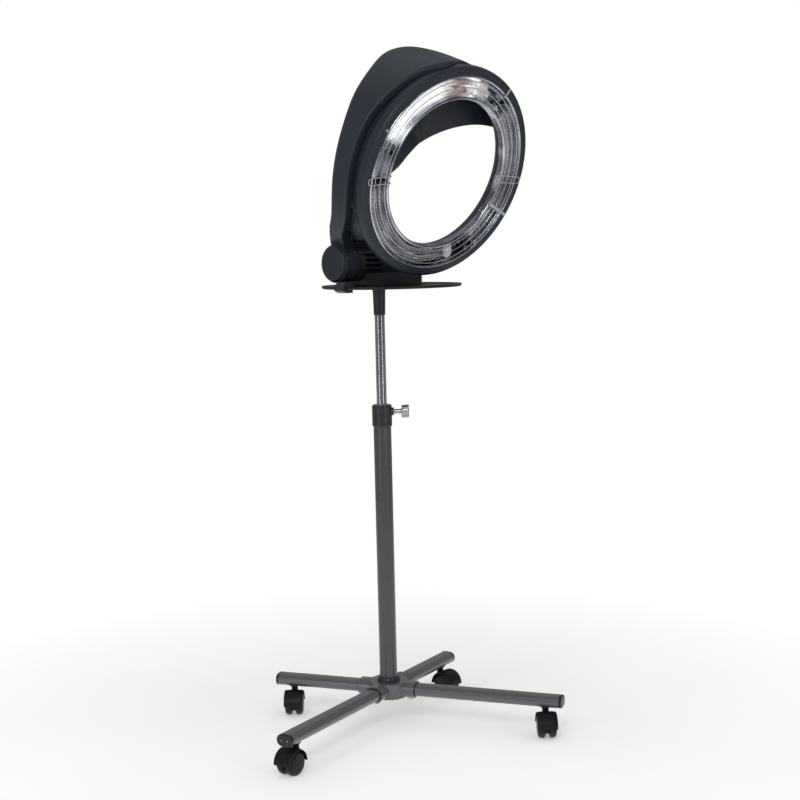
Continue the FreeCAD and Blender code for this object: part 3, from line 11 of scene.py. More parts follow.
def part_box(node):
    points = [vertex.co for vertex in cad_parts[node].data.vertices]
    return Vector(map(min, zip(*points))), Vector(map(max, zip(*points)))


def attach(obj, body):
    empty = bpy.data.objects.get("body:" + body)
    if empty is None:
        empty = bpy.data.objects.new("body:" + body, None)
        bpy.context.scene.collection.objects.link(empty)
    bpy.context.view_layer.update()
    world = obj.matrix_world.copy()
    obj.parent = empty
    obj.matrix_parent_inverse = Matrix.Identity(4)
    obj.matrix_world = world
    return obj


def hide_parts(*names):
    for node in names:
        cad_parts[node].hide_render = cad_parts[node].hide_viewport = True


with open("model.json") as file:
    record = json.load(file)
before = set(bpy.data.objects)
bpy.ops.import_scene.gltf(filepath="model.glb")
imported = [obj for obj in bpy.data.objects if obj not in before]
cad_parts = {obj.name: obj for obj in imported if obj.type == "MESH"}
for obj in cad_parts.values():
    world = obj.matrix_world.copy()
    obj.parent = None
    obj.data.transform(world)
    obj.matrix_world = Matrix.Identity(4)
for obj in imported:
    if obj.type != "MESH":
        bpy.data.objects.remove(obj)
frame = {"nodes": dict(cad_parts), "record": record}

bl_info = {
    "name": "Hair processor on a castor stand",
    "version": (1, 0, 0),
    "blender": (4, 5, 0),
    "location": "View3D > Sidebar > Stand",
    "description": "Dresses the packed hair processor: lamp ring, hood, drum, column and castors",
    "category": "Object",
}

MM = 0.001
X, Y, Z = (Vector(axis) for axis in ((1, 0, 0), (0, 1, 0), (0, 0, 1)))
NODES = frame["nodes"]


def middle(node):
    """Middle of a CAD node's box."""
    low, high = (Vector(corner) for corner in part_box(node))
    return (low + high) / 2


# The column's axis and the tilt axis come from the frame
COLUMN = Vector((middle("column_outer_tube").x, middle("column_outer_tube").y, 0))
AXIS_LEVEL = middle("tilt_axle").z
HEAD_TILT = math.radians(20.8)
RING_FORWARD = 141.4 * MM
RING_UP = 238.7 * MM
DRUM = Matrix.Translation(COLUMN + Vector((0, 0, AXIS_LEVEL)))
HEAD = DRUM @ Matrix.Rotation(HEAD_TILT, 4, "X") @ Matrix.Translation((0, -RING_FORWARD, RING_UP))


def linear(code):
    """An sRGB hex colour as linear red, green, blue and alpha."""
    values = [int(code[place:place + 2], 16) / 255 for place in (1, 3, 5)]
    return [value / 12.92 if value <= 0.04045 else ((value + 0.055) / 1.055) ** 2.4
            for value in values] + [1.0]


def per_mm(size):
    """Texture scale at which one feature is this many millimetres."""
    return 1 / (size * MM)


class FinishColours(bpy.types.PropertyGroup):
    slate: FloatVectorProperty(
        name="Slate", description="Moulded plastic of the hood and the ring", subtype="COLOR",
        size=4, min=0, max=1, default=linear("#282f38"))
    black: FloatVectorProperty(
        name="Black", description="Moulded plastic of the drum", subtype="COLOR",
        size=4, min=0, max=1, default=linear("#31343b"))
    leg_grey: FloatVectorProperty(
        name="Leg grey", description="Metallic enamel of the legs and the hub", subtype="COLOR",
        size=4, min=0, max=1, default=linear("#5f6165"))
    tube_grey: FloatVectorProperty(
        name="Tube grey", description="Enamel of the outer column", subtype="COLOR",
        size=4, min=0, max=1, default=linear("#494c4f"))


class LampSizes(bpy.types.PropertyGroup):
    tube_radius: FloatProperty(
        name="Tube radius", description="Outside radius of one quartz tube", unit="LENGTH",
        min=0.003, max=0.01, default=6.2 * MM)
    spacing: FloatProperty(
        name="Tube spacing", description="Distance between a lamp's two tubes", unit="LENGTH",
        min=0.01, max=0.03, default=15.5 * MM)
    middle_radius: FloatProperty(
        name="Middle radius", description="Radius on which a lamp's two tubes lie", unit="LENGTH",
        min=0.1, max=0.3, default=175.5 * MM)
    depth: FloatProperty(
        name="Depth", description="Depth of the tubes behind the ring's front", unit="LENGTH",
        min=0.0, max=0.04, default=15 * MM)
    sweep: FloatProperty(
        name="Sweep", description="Angle that one lamp takes up", subtype="ANGLE",
        min=0.5, max=2.1, default=math.radians(96))
    filament_turns: IntProperty(
        name="Filament turns", description="Turns of the heating wire in one tube",
        min=10, max=200, default=84)


class ReflectorSizes(bpy.types.PropertyGroup):
    outer: FloatProperty(
        name="Outer radius", description="Radius of the trough's outer lip", unit="LENGTH",
        min=0.1, max=0.3, default=195.7 * MM)
    inner: FloatProperty(
        name="Inner radius", description="Radius of the trough's inner lip", unit="LENGTH",
        min=0.1, max=0.3, default=156.3 * MM)
    depth: FloatProperty(
        name="Depth", description="Depth of the trough", unit="LENGTH",
        min=0.01, max=0.05, default=37 * MM)
    ridges: IntProperty(
        name="Ridges", description="Rolled ridges across the trough", min=0, max=60, default=8)
    ridge_height: FloatProperty(
        name="Ridge height", description="Height of one ridge", unit="LENGTH",
        min=0.0, max=0.003, default=1.3 * MM)


class StandSettings(bpy.types.PropertyGroup):
    colours: PointerProperty(type=FinishColours)
    lamps: PointerProperty(type=LampSizes)
    reflector: PointerProperty(type=ReflectorSizes)


def settings():
    return bpy.context.scene.stand_settings


# Materials

def add(owner, kind, look=None, **inputs):
    """Adds a node, sets its options and gives inputs values or links, by name or as n and a number."""
    node = owner.node_tree.nodes.new(kind)
    for option, value in (look or {}).items():
        setattr(node, option, value)
    for name, value in inputs.items():
        socket = node.inputs[int(name[1:]) if name[1:].isdigit() else name.replace("_", " ")]
        if isinstance(value, bpy.types.NodeSocket):
            owner.node_tree.links.new(value, socket)
        else:
            socket.default_value = value
    return node


def start_material(name):
    """An empty material and the object coordinates that its patterns follow."""
    material = bpy.data.materials.new(name)
    material.use_nodes = True
    material.node_tree.nodes.clear()
    place = add(material, "ShaderNodeTexCoord").outputs["Object"]
    return material, place


def finish_material(material, shader):
    add(material, "ShaderNodeOutputMaterial", Surface=shader.outputs[0])
    return material


def mottle(material, place, size, first, second, detail=3.0):
    """Slow change between two colours over this many millimetres."""
    noise = add(material, "ShaderNodeTexNoise", Vector=place, Scale=per_mm(size), Detail=detail)
    ramp = add(material, "ShaderNodeValToRGB", Fac=noise.outputs["Fac"])
    ramp.color_ramp.elements[0].position = 0.35
    ramp.color_ramp.elements[0].color = first
    ramp.color_ramp.elements[1].position = 0.65
    ramp.color_ramp.elements[1].color = second
    return ramp.outputs["Color"]


def spread(material, place, size, low, high):
    """A value that wanders between low and high over this many millimetres."""
    noise = add(material, "ShaderNodeTexNoise", Vector=place, Scale=per_mm(size), Detail=2.0)
    return add(material, "ShaderNodeMapRange", Value=noise.outputs["Fac"], From_Min=0.3, From_Max=0.7,
               To_Min=low, To_Max=high).outputs["Result"]


def grain(material, place, size, height, detail=2.0):
    """Fine bumps of this size and height, both in millimetres."""
    noise = add(material, "ShaderNodeTexNoise", Vector=place, Scale=per_mm(size), Detail=detail)
    return add(material, "ShaderNodeBump", Strength=1.0, Distance=height * MM,
               Height=noise.outputs["Fac"]).outputs["Normal"]


def shade(colour, factor):
    return [min(channel * factor, 1.0) for channel in colour[:3]] + [1.0]


def dress(material, place, colour, roughness, bumps=None, detail=3.0, **inputs):
    """
    Finishes a material. The colour is a link, or a size and two colours. The roughness is a size and its
    two ends, and the bumps are a size and a height. All sizes are in millimetres.
    """
    if isinstance(colour, tuple):
        size, *pair = colour
        first, second = (linear(code) if isinstance(code, str) else code for code in pair)
        colour = mottle(material, place, size, first, second, detail)
    if bumps:
        inputs["Normal"] = grain(material, place, *bumps)
    shader = add(material, "ShaderNodeBsdfPrincipled", Base_Color=colour,
                 Roughness=spread(material, place, *roughness), **inputs)
    return finish_material(material, shader)


def surface(name, colour, roughness, bumps=None, detail=3.0, **inputs):
    """A whole material in one call: an empty one that dress() finishes."""
    material, place = start_material(name)
    return dress(material, place, colour, roughness, bumps, detail, **inputs)


def slate_abs():
    """Injection-moulded ABS with a fine spark-eroded grain: soft wide highlights, no mirror image."""
    slate = list(settings().colours.slate)
    return surface("moulded_abs_slate", (90, shade(slate, 0.94), shade(slate, 1.08)), (35, 0.36, 0.44), (0.9, 0.04),
                   Specular_IOR_Level=0.35, IOR=1.53)


def black_abs():
    """Moulded black ABS with a coarser grain, rubbed a little smoother in places."""
    black = list(settings().colours.black)
    return surface("moulded_abs_black", (40, shade(black, 0.85), shade(black, 1.25)), (22, 0.26, 0.38), (1.1, 0.05),
                   Specular_IOR_Level=0.4, IOR=1.53)


def black_enamel():
    """Powder coat on pressed steel: an even satin black with a faint orange peel."""
    return surface("powder_coat_black", (55, "#121315", "#191a1d"), (30, 0.34, 0.46), (2.6, 0.05),
                   Specular_IOR_Level=0.35, IOR=1.5)


def flake_enamel(name, colour, roughness, flake_size):
    """Metallic enamel: aluminium flakes under a clear coat, so edges flash and faces look deeper."""
    material, place = start_material(name)
    flakes = add(material, "ShaderNodeTexVoronoi", Vector=place, Scale=per_mm(flake_size))
    spark = add(material, "ShaderNodeMapRange", Value=flakes.outputs["Color"],
                To_Min=0.82, To_Max=1.18).outputs["Result"]
    slow = mottle(material, place, 120, shade(colour, 0.94), shade(colour, 1.06))
    tint = add(material, "ShaderNodeMix", {"data_type": "RGBA", "blend_type": "MULTIPLY"},
               Factor=1.0, n6=slow, n7=spark)
    return dress(material, place, tint.outputs[2], (18, roughness - 0.04, roughness + 0.05), (3.0, 0.04),
                 Metallic=0.3, Coat_Weight=0.7, Coat_Roughness=0.2)


def leg_enamel():
    """Light metallic grey on the drawn legs and the cast hub."""
    return flake_enamel("metallic_enamel_light_grey", list(settings().colours.leg_grey), 0.34, 0.8)


def tube_enamel():
    """Darker metallic grey on the outer column."""
    return flake_enamel("metallic_enamel_dark_grey", list(settings().colours.tube_grey), 0.4, 0.7)


def bright_chrome():
    """Chrome plate on a polished tube: two soft bright lines, a little dulled in streaks along the tube."""
    material, place = start_material("chrome_plate_polished")
    stretched = add(material, "ShaderNodeMapping", Vector=place, Scale=(1.0, 1.0, 0.05)).outputs["Vector"]
    colour = mottle(material, place, 45, linear("#aeb1b6"), linear("#bfc2c6"))
    return dress(material, stretched, colour, (60, 0.18, 0.21), Metallic=1.0)


def drawn_wire():
    """Bright drawn steel wire: pale lines, slightly duller than plate."""
    return surface("bright_drawn_wire", (12, "#c4c7cb", "#e2e4e6"), (4, 0.12, 0.26), (0.7, 0.02), Metallic=0.75)


def polished_aluminium():
    """Bright-rolled aluminium sheet: mirror ridges with a slightly smoky film from heat."""
    return surface("bright_rolled_aluminium", (60, "#8b919e", "#e4e6ec"), (14, 0.06, 0.14), (5.0, 0.05), Metallic=1.0)


def quartz():
    """Fused quartz tube: clear, with a faint milky bloom where it has been hot."""
    return surface("fused_quartz", (18, "#eef0f2", "#ffffff"), (9, 0.02, 0.09), Transmission_Weight=0.92, IOR=1.46)


def white_coat_painted_glare():
    """White alumina coat burnt on quartz: brilliant, with a pink-brown stain where it has run hottest. The coat is
    partly painted glare: it glows faintly in its own colour, and its white stands for the bright reflection across
    the ring's upper left.
    """
    material, place = start_material("alumina_coat_painted_glare")
    base = mottle(material, place, 7, linear("#ffffff"), linear("#e9e9ea"), detail=5.0)
    hottest = HEAD @ on_ring(-4, 0.176, 0.01)
    near = add(material, "ShaderNodeVectorMath", {"operation": "DISTANCE"}, n0=place, n1=hottest)
    inside = add(material, "ShaderNodeMapRange", Value=near.outputs["Value"], From_Min=0.015, From_Max=0.075,
                 To_Min=0.36, To_Max=-0.3).outputs["Result"]
    noise = add(material, "ShaderNodeTexNoise", Vector=place, Scale=per_mm(14), Detail=8.0, Roughness=0.75)
    blotch = add(material, "ShaderNodeMath", {"operation": "ADD"}, n0=noise.outputs["Fac"], n1=inside)
    strength = add(material, "ShaderNodeMapRange", Value=blotch.outputs[0], From_Min=0.46, From_Max=0.9,
                   To_Min=0.0, To_Max=0.95).outputs["Result"]
    stained = add(material, "ShaderNodeMix", {"data_type": "RGBA"},
                  Factor=strength, n6=base, n7=linear("#6e4a49"))
    # The emission in the coat's own colour is a painted glow, not light from the lamp.
    return dress(material, place, stained.outputs[2], (6, 0.25, 0.45), (2.4, 0.12),
                 Emission_Color=stained.outputs[2], Emission_Strength=0.5)


def filament():
    """Oxidised heating wire: dark grey-brown with a dull metal sheen."""
    return surface("oxidised_heating_wire", (5, "#3f3a38", "#5a5452"), (3, 0.35, 0.5), Metallic=0.8)


def steatite():
    """Fired steatite ceramic: chalky white with small kiln specks."""
    return surface("fired_steatite", (3, "#f2f1ec", "#e0ded8"), (5, 0.5, 0.65), (0.8, 0.08), 6.0)


def castor_nylon():
    """Moulded nylon of the castors: near black, with a slightly greasy sheen and dust low down."""
    material, place = start_material("moulded_nylon_black")
    height = add(material, "ShaderNodeSeparateXYZ", Vector=place).outputs["Z"]
    dust = add(material, "ShaderNodeMapRange", Value=height, From_Min=0.0, From_Max=0.012,
               To_Min=0.25, To_Max=0.0).outputs["Result"]
    base = mottle(material, place, 16, linear("#0f1013"), linear("#16171b"))
    dusty = add(material, "ShaderNodeMix", {"data_type": "RGBA"}, Factor=dust, n6=base, n7=linear("#3a3a3c"))
    return dress(material, place, dusty.outputs[2], (12, 0.42, 0.55), (1.0, 0.05),
                 Specular_IOR_Level=0.3, IOR=1.53)


def cap_plastic():
    """Black polyethylene of the leg caps and bushes, a little waxy."""
    return surface("moulded_polyethylene_black", (14, "#151618", "#232427"), (10, 0.3, 0.45), (1.4, 0.06), IOR=1.5)


def collar_plastic():
    """Dark grey phenolic of the clamp collar: a hard satin with thin highlights."""
    return surface("moulded_phenolic_grey", (10, "#222428", "#2e3034"), (8, 0.28, 0.4), (1.0, 0.05), IOR=1.6)


def zinc_plate():
    """Bright zinc on turned steel: a cool grey with fine turning marks."""
    return surface("zinc_plate_bright", (6, "#a8abae", "#c6c8ca"), (2, 0.2, 0.34), (0.5, 0.02), Metallic=1.0)


def turned_aluminium():
    """Turned aluminium of the thumb screw's knob: light satin grey with fine marks."""
    return surface("turned_aluminium_satin", (5, "#aeb1b9", "#c8cad0"), (2, 0.28, 0.42), (0.6, 0.03), Metallic=1.0)


def soft_rubber():
    """Moulded rubber of the clamp pad: a dull black that shows no highlight."""
    return surface("moulded_rubber_black", (8, "#161616", "#242424"), (5, 0.6, 0.75), (0.8, 0.06))


def sintered_bronze():
    """Oil-soaked sintered bronze of the tilt bush: warm, porous and dull."""
    return surface("sintered_bronze", (4, "#8a6a3c", "#a5824c"), (2, 0.35, 0.5), (0.5, 0.05), 6.0, Metallic=1.0)


def oxidised_steel():
    """Steel ferrules scaled by heat: a grey with a rough sheen."""
    return surface("heat_scaled_steel", (6, "#5a5d64", "#7c7e84"), (3, 0.4, 0.6), (1.2, 0.08), 5.0, Metallic=0.3)


def glint_lens_glass():
    """Green-blue glass of the small lens in the ring's face: one bright speck of colour, whose pale tint is partly a
    painted glint.
    """
    return surface("tinted_lens_glass_painted_glint", (2, "#7fb3ac", "#a9d6cf"), (1.5, 0.1, 0.2), Transmission_Weight=0.35, IOR=1.5)


def print_white():
    """White pad-printed ink of the dial's marks: flat, with no gloss."""
    return surface("pad_print_white", (3, "#d8d9d6", "#eceae6"), (2, 0.45, 0.55))


MATERIALS = {}
FINISH_OF_SLOT = {
    "satin_steel": leg_enamel,
    "grey_casting": leg_enamel,
    "black_plastic": black_abs,
    "black_tray": black_enamel,
    "zinc_steel": zinc_plate,
    "tube_grey": tube_enamel,
    "dark_collar": collar_plastic,
    "black_rubber": soft_rubber,
    "chrome_tube": bright_chrome,
    "castor_black": castor_nylon,
    "slate_plastic": slate_abs,
    "bronze_bush": sintered_bronze,
    "polished_reflector": polished_aluminium,
    "lamp_glass": quartz,
    "white_ceramic": steatite,
    "guard_chrome": drawn_wire,
}


def finish(maker):
    """The material that this function makes, made once."""
    if maker.__name__ not in MATERIALS:
        MATERIALS[maker.__name__] = maker()
    return MATERIALS[maker.__name__]


# Mesh helpers

def piece(name, verts, faces, maker, body, slot, place=None):
    """A mesh piece that rides on a body. Its points are in metres, moved by place if one is given."""
    mesh = bpy.data.meshes.new(name)
    points = [place @ Vector(vert) for vert in verts] if place else verts
    mesh.from_pydata([tuple(point) for point in points], [], faces)
    mesh.validate()
    work = bmesh.new()
    work.from_mesh(mesh)
    bmesh.ops.remove_doubles(work, verts=work.verts, dist=0.01 * MM)
    bmesh.ops.recalc_face_normals(work, faces=work.faces)
    work.to_mesh(mesh)
    work.free()
    for polygon in mesh.polygons:
        polygon.use_smooth = True
    thing = bpy.data.objects.new(name, mesh)
    bpy.context.scene.collection.objects.link(thing)
    mesh.materials.append(finish(maker))
    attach(thing, body)
    return thing


def crease(thing, angle=40):
    """Keeps edges sharper than this angle crisp under smooth shading."""
    thing.data.set_sharp_from_angle(angle=math.radians(angle))
    return thing


def in_mm(line):
    """Pairs in millimetres as pairs in metres."""
    return [(first * MM, second * MM) for first, second in line]


def on_ring(angle, radius, depth):
    """A point of the head: degrees clockwise from the ring's top, radius and depth in metres."""
    turn = math.radians(angle)
    return Vector((radius * math.sin(turn), depth, radius * math.cos(turn)))


def lathe(profile, segments, point, closed_profile=False, first=0.0, last=360.0):
    """Turns (radius, depth) pairs round an axis. point(angle, radius, depth) says where each one goes."""
    whole = last - first >= 360.0
    count = segments if whole else segments + 1
    verts = []
    for step in range(count):
        angle = first + (last - first) * step / segments
        verts += [point(angle, radius, depth) for radius, depth in profile]
    size = len(profile)
    faces = []
    for step in range(segments):
        for place in range(size if closed_profile else size - 1):
            after = (place + 1) % size
            here = step * size
            there = (step + 1) % count * size
            faces.append((here + place, here + after, there + after, there + place))
    if not whole:
        faces.append(tuple(range(size)))
        faces.append(tuple(range((count - 1) * size, count * size))[::-1])
    return verts, faces


def round_axis(centre, along, across):
    """How lathe() places a point round an axis through centre, with its angle from across."""
    side = along.cross(across)

    def point(angle, radius, depth):
        turn = math.radians(angle)
        return centre + along * depth + across * radius * math.cos(turn) + side * radius * math.sin(turn)
    return point


def tube(path, radius, sides=10, closed=False):
    """A round bar along a list of points."""
    count = len(path)
    verts = []
    ahead = (path[1] - path[0]).normalized()
    side = ahead.orthogonal().normalized()
    for place, spot in enumerate(path):
        before = path[place - 1] if place or closed else spot
        after = path[(place + 1) % count] if place < count - 1 or closed else spot
        ahead = (after - before).normalized()
        side = (side - ahead * side.dot(ahead)).normalized()
        up = ahead.cross(side)
        for step in range(sides):
            turn = 2 * math.pi * step / sides
            verts.append(spot + (side * math.cos(turn) + up * math.sin(turn)) * radius)
    faces = []
    for place in range(count if closed else count - 1):
        here = place * sides
        there = (place + 1) % count * sides
        for step in range(sides):
            after = (step + 1) % sides
            faces.append((here + step, here + after, there + after, there + step))
    if not closed:
        faces.append(tuple(range(sides))[::-1])
        faces.append(tuple(range((count - 1) * sides, count * sides)))
    return verts, faces


def merged(parts):
    """Joins several (verts, faces) pairs."""
    verts, faces = [], []
    for some_verts, some_faces in parts:
        base = len(verts)
        verts += list(some_verts)
        faces += [tuple(base + place for place in face) for face in some_faces]
    return verts, faces


def arc_path(radius, depth, first, last, steps):
    return [on_ring(first + (last - first) * step / steps, radius, depth) for step in range(steps + 1)]


def tube_radii():
    """Radii on which a lamp's two tubes lie."""
    sizes = settings().lamps
    return [sizes.middle_radius + side * sizes.spacing / 2 for side in (-1, 1)]


def subdivide(thing, levels=2):
    change = thing.modifiers.new("Smooth", "SUBSURF")
    change.levels = levels
    change.render_levels = levels


# Pieces

class StandStep(bpy.types.Operator):
    """Base of the steps that dress the stand"""
    bl_options = {"REGISTER", "UNDO"}


class STAND_OT_finishes(StandStep):
    """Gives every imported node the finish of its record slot"""
    bl_idname = "stand.finishes"
    bl_label = "Finishes"

    def execute(self, context):
        slots = {part["node"]: part["material_slot"] for part in frame["record"]["subparts"]}
        for node, thing in NODES.items():
            thing.data.materials.clear()
            thing.data.materials.append(finish(FINISH_OF_SLOT[slots[node]]))
        for node in ("leg_end_caps", "column_guide_bush", "inner_tube_foot_plug", "castor_sockets"):
            NODES[node].data.materials[0] = finish(cap_plastic)
        NODES["thumb_screw_knob"].data.materials[0] = finish(turned_aluminium)
        return {"FINISHED"}


RIM_BEAD = 1.7 * MM
RIM_BEAD_DEPTH = 1.0 * MM
RIM_BEAD_TURN = 200
STEPS_A_RIDGE = 12
TROUGH_FULLNESS = 0.7
SHEET = 0.5 * MM
LINING_LIP = [(155.4, -0.5), (153.6, -0.6), (152.0, 0.2)]
LINING_RADIUS = 150.9
LINING_WAVE = 0.35
LINING_WAVES = 3
LINING_DEPTHS = (2.0, 15.5)
LINING_SHEET = 0.4 * MM
LINING_BACK = 0.2 * MM


class STAND_OT_reflector(StandStep):
    """Ridged reflector trough with a rolled outer rim, and the ridged lining of the ring's hole"""
    bl_idname = "stand.reflector"
    bl_label = "Reflector"

    def execute(self, context):
        sizes = settings().reflector
        centre = (sizes.outer + sizes.inner) / 2
        half = (sizes.outer - sizes.inner) / 2
        profile = []
        for step in range(9):
            turn = math.radians(RIM_BEAD_TURN * step / 8)
            profile.append((sizes.outer + RIM_BEAD - RIM_BEAD * math.cos(turn),
                            RIM_BEAD_DEPTH - RIM_BEAD * math.sin(turn)))
        profile.reverse()
        steps = sizes.ridges * STEPS_A_RIDGE
        for step in range(steps + 1):
            turn = math.pi * step / steps
            ridge = sizes.ridge_height * abs(math.sin(sizes.ridges * turn / 2))
            depth = sizes.depth * math.sin(turn) ** TROUGH_FULLNESS - ridge * math.sin(turn)
            profile.append((centre + half * math.cos(turn), max(depth, 0.0)))
        trough = piece("ring_reflector_ridged", *lathe(profile, 256, on_ring), polished_aluminium,
                       "hood", "polished_reflector", HEAD)
        sheet = trough.modifiers.new("Sheet", "SOLIDIFY")
        sheet.thickness = SHEET
        sheet.offset = 1.0
        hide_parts("ring_reflector")
        front = [(sizes.inner, 0.0)] + in_mm(LINING_LIP)
        near, far = LINING_DEPTHS
        for step in range(25):
            wave = LINING_WAVE * MM * math.cos(2 * math.pi * LINING_WAVES * step / 24)
            front.append((LINING_RADIUS * MM - wave, (near + (far - near) * step / 24) * MM))
        back = [(radius + LINING_SHEET, max(depth, LINING_BACK)) for radius, depth in reversed(front)]
        lining = piece("hole_lining_ridged", *lathe(front + back, 192, on_ring, True), polished_aluminium,
                       "hood", "polished_reflector", HEAD)
        crease(lining, 50)
        return {"FINISHED"}


# Middle of each lamp in degrees clockwise from the top
LAMPS = {"top": -28.0, "right": 92.0, "bottom": 212.0}
COAT = 0.25 * MM
COAT_SIDES = 20
COAT_STEPS = 84
COAT_START = 5
RAGGED_DEGREES = 5.0
RAGGED_STEPS = 10
BACKING_HALF = 18 * MM
BACKING_DEPTHS = (11 * MM, 19 * MM)
BACKING_SHEET = 0.5 * MM
BACKING_ENDS = (9, 3)
BACKING_ARC = (10, 170)
COIL_RADIUS = 1.5 * MM
COIL_WIRE = 0.3 * MM
COIL_POINTS = 7
COIL_END = 2


class STAND_OT_lamps(StandStep):
    """Twin curved quartz tubes with coiled heating wires; the top pair and its backing are coated white, a white that
    is partly painted glare
    """
    bl_idname = "stand.lamps"
    bl_label = "Lamps"

    def execute(self, context):
        sizes = settings().lamps
        half = math.degrees(sizes.sweep) / 2
        for name, angle in LAMPS.items():
            self.tubes(name, sizes, angle - half, angle + half)
            self.wires(name, sizes, angle - half + COIL_END, angle + half - COIL_END)
        self.coat(sizes, LAMPS["top"], half)
        return {"FINISHED"}

    def tubes(self, name, sizes, first, last):
        glass = merged([tube(arc_path(radius, sizes.depth, first, last, 60), sizes.tube_radius, 16)
                        for radius in tube_radii()])
        whole = piece("quartz_tubes_" + name, *glass, quartz, "hood", "lamp_glass", HEAD)
        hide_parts("lamp_" + name)

    def coat(self, sizes, angle, half):
        """White coat on the top tubes from a ragged start to the end block, and the white strip behind them; this
        white, on the top pair alone, is partly painted glare.
        """
        dice = random.Random(7)
        reach = sizes.tube_radius + COAT
        parts = []
        for radius in tube_radii():
            verts, faces = [], []
            ragged = [dice.uniform(0.0, RAGGED_DEGREES) for side in range(COAT_SIDES)]
            for step in range(COAT_STEPS + 1):
                for side in range(COAT_SIDES):
                    first = angle - half + COAT_START + ragged[side] * (1 - min(step, RAGGED_STEPS) / RAGGED_STEPS)
                    turn = 2 * math.pi * side / COAT_SIDES
                    here = first + (angle + half - 1 - first) * step / COAT_STEPS
                    verts.append(on_ring(here, radius + reach * math.cos(turn),
                                         sizes.depth + reach * math.sin(turn)))
            for step in range(COAT_STEPS):
                for side in range(COAT_SIDES):
                    low = step * COAT_SIDES + side
                    high = step * COAT_SIDES + (side + 1) % COAT_SIDES
                    faces.append((low, high, high + COAT_SIDES, low + COAT_SIDES))
            parts.append((verts, faces))
        strip = []
        rim, rise = BACKING_DEPTHS
        low, high = BACKING_ARC
        for step in range(13):
            turn = math.radians(low + (high - low) * step / 12)
            strip.append((sizes.middle_radius + BACKING_HALF * math.cos(turn), rim + rise * math.sin(turn)))
        back = [(radius + BACKING_SHEET * (radius - sizes.middle_radius) / BACKING_HALF, depth + BACKING_SHEET)
                for radius, depth in reversed(strip)]
        first, last = angle - half + BACKING_ENDS[0], angle + half - BACKING_ENDS[1]
        parts.append(lathe(strip + back, 60, on_ring, True, first, last))
        # Only the top lamp is coated: its white and glow partly paint the glare across the ring's upper left.
        piece("alumina_coat_top_painted_glare", *merged(parts), white_coat_painted_glare, "hood", "white_ceramic", HEAD)

    def wires(self, name, sizes, first, last):
        count = sizes.filament_turns * COIL_POINTS
        wires = []
        for radius in tube_radii():
            path = []
            for step in range(count + 1):
                spin = 2 * math.pi * step / COIL_POINTS
                path.append(on_ring(first + (last - first) * step / count, radius + COIL_RADIUS * math.cos(spin),
                                    sizes.depth + COIL_RADIUS * math.sin(spin)))
            wires.append(tube(path, COIL_WIRE, 4))
        piece("heating_wire_" + name, *merged(wires), filament, "hood", "guard_chrome", HEAD)


# Angle, side of it (-1 is back), length, width and height in millimetres, then columns and rows of holes
BIG_BLOCKS = ((20, -1, 27, 38, 27, 4, 6), (164, -1, 22, 33, 25, 3, 5))
SMALL_BLOCKS = [(angle, 1, 6, 8, 12, 1, 1) for angle in (144, 148, 152)]
SMALL_BLOCK_DEPTH = 1.0
BLOCK_DEPTH = 4.2
CORNER_SHARES = (0.66, 0.88)
CROWNS = (4 * MM, 3 * MM)
HOLE_STEPS = ((0.2, 0.0), (0.08, -0.6), (0.03, -3.0))
FERRULE_ANGLES = (-76.5, 43.0, 140.5, 259.5)
FERRULE_RADIUS = 7.0 * MM
FERRULE_HALF = 1.3
LEAD_RADIUS = 4.5 * MM
LEAD_HALF = 0.9
LEAD_BEHIND = 9 * MM


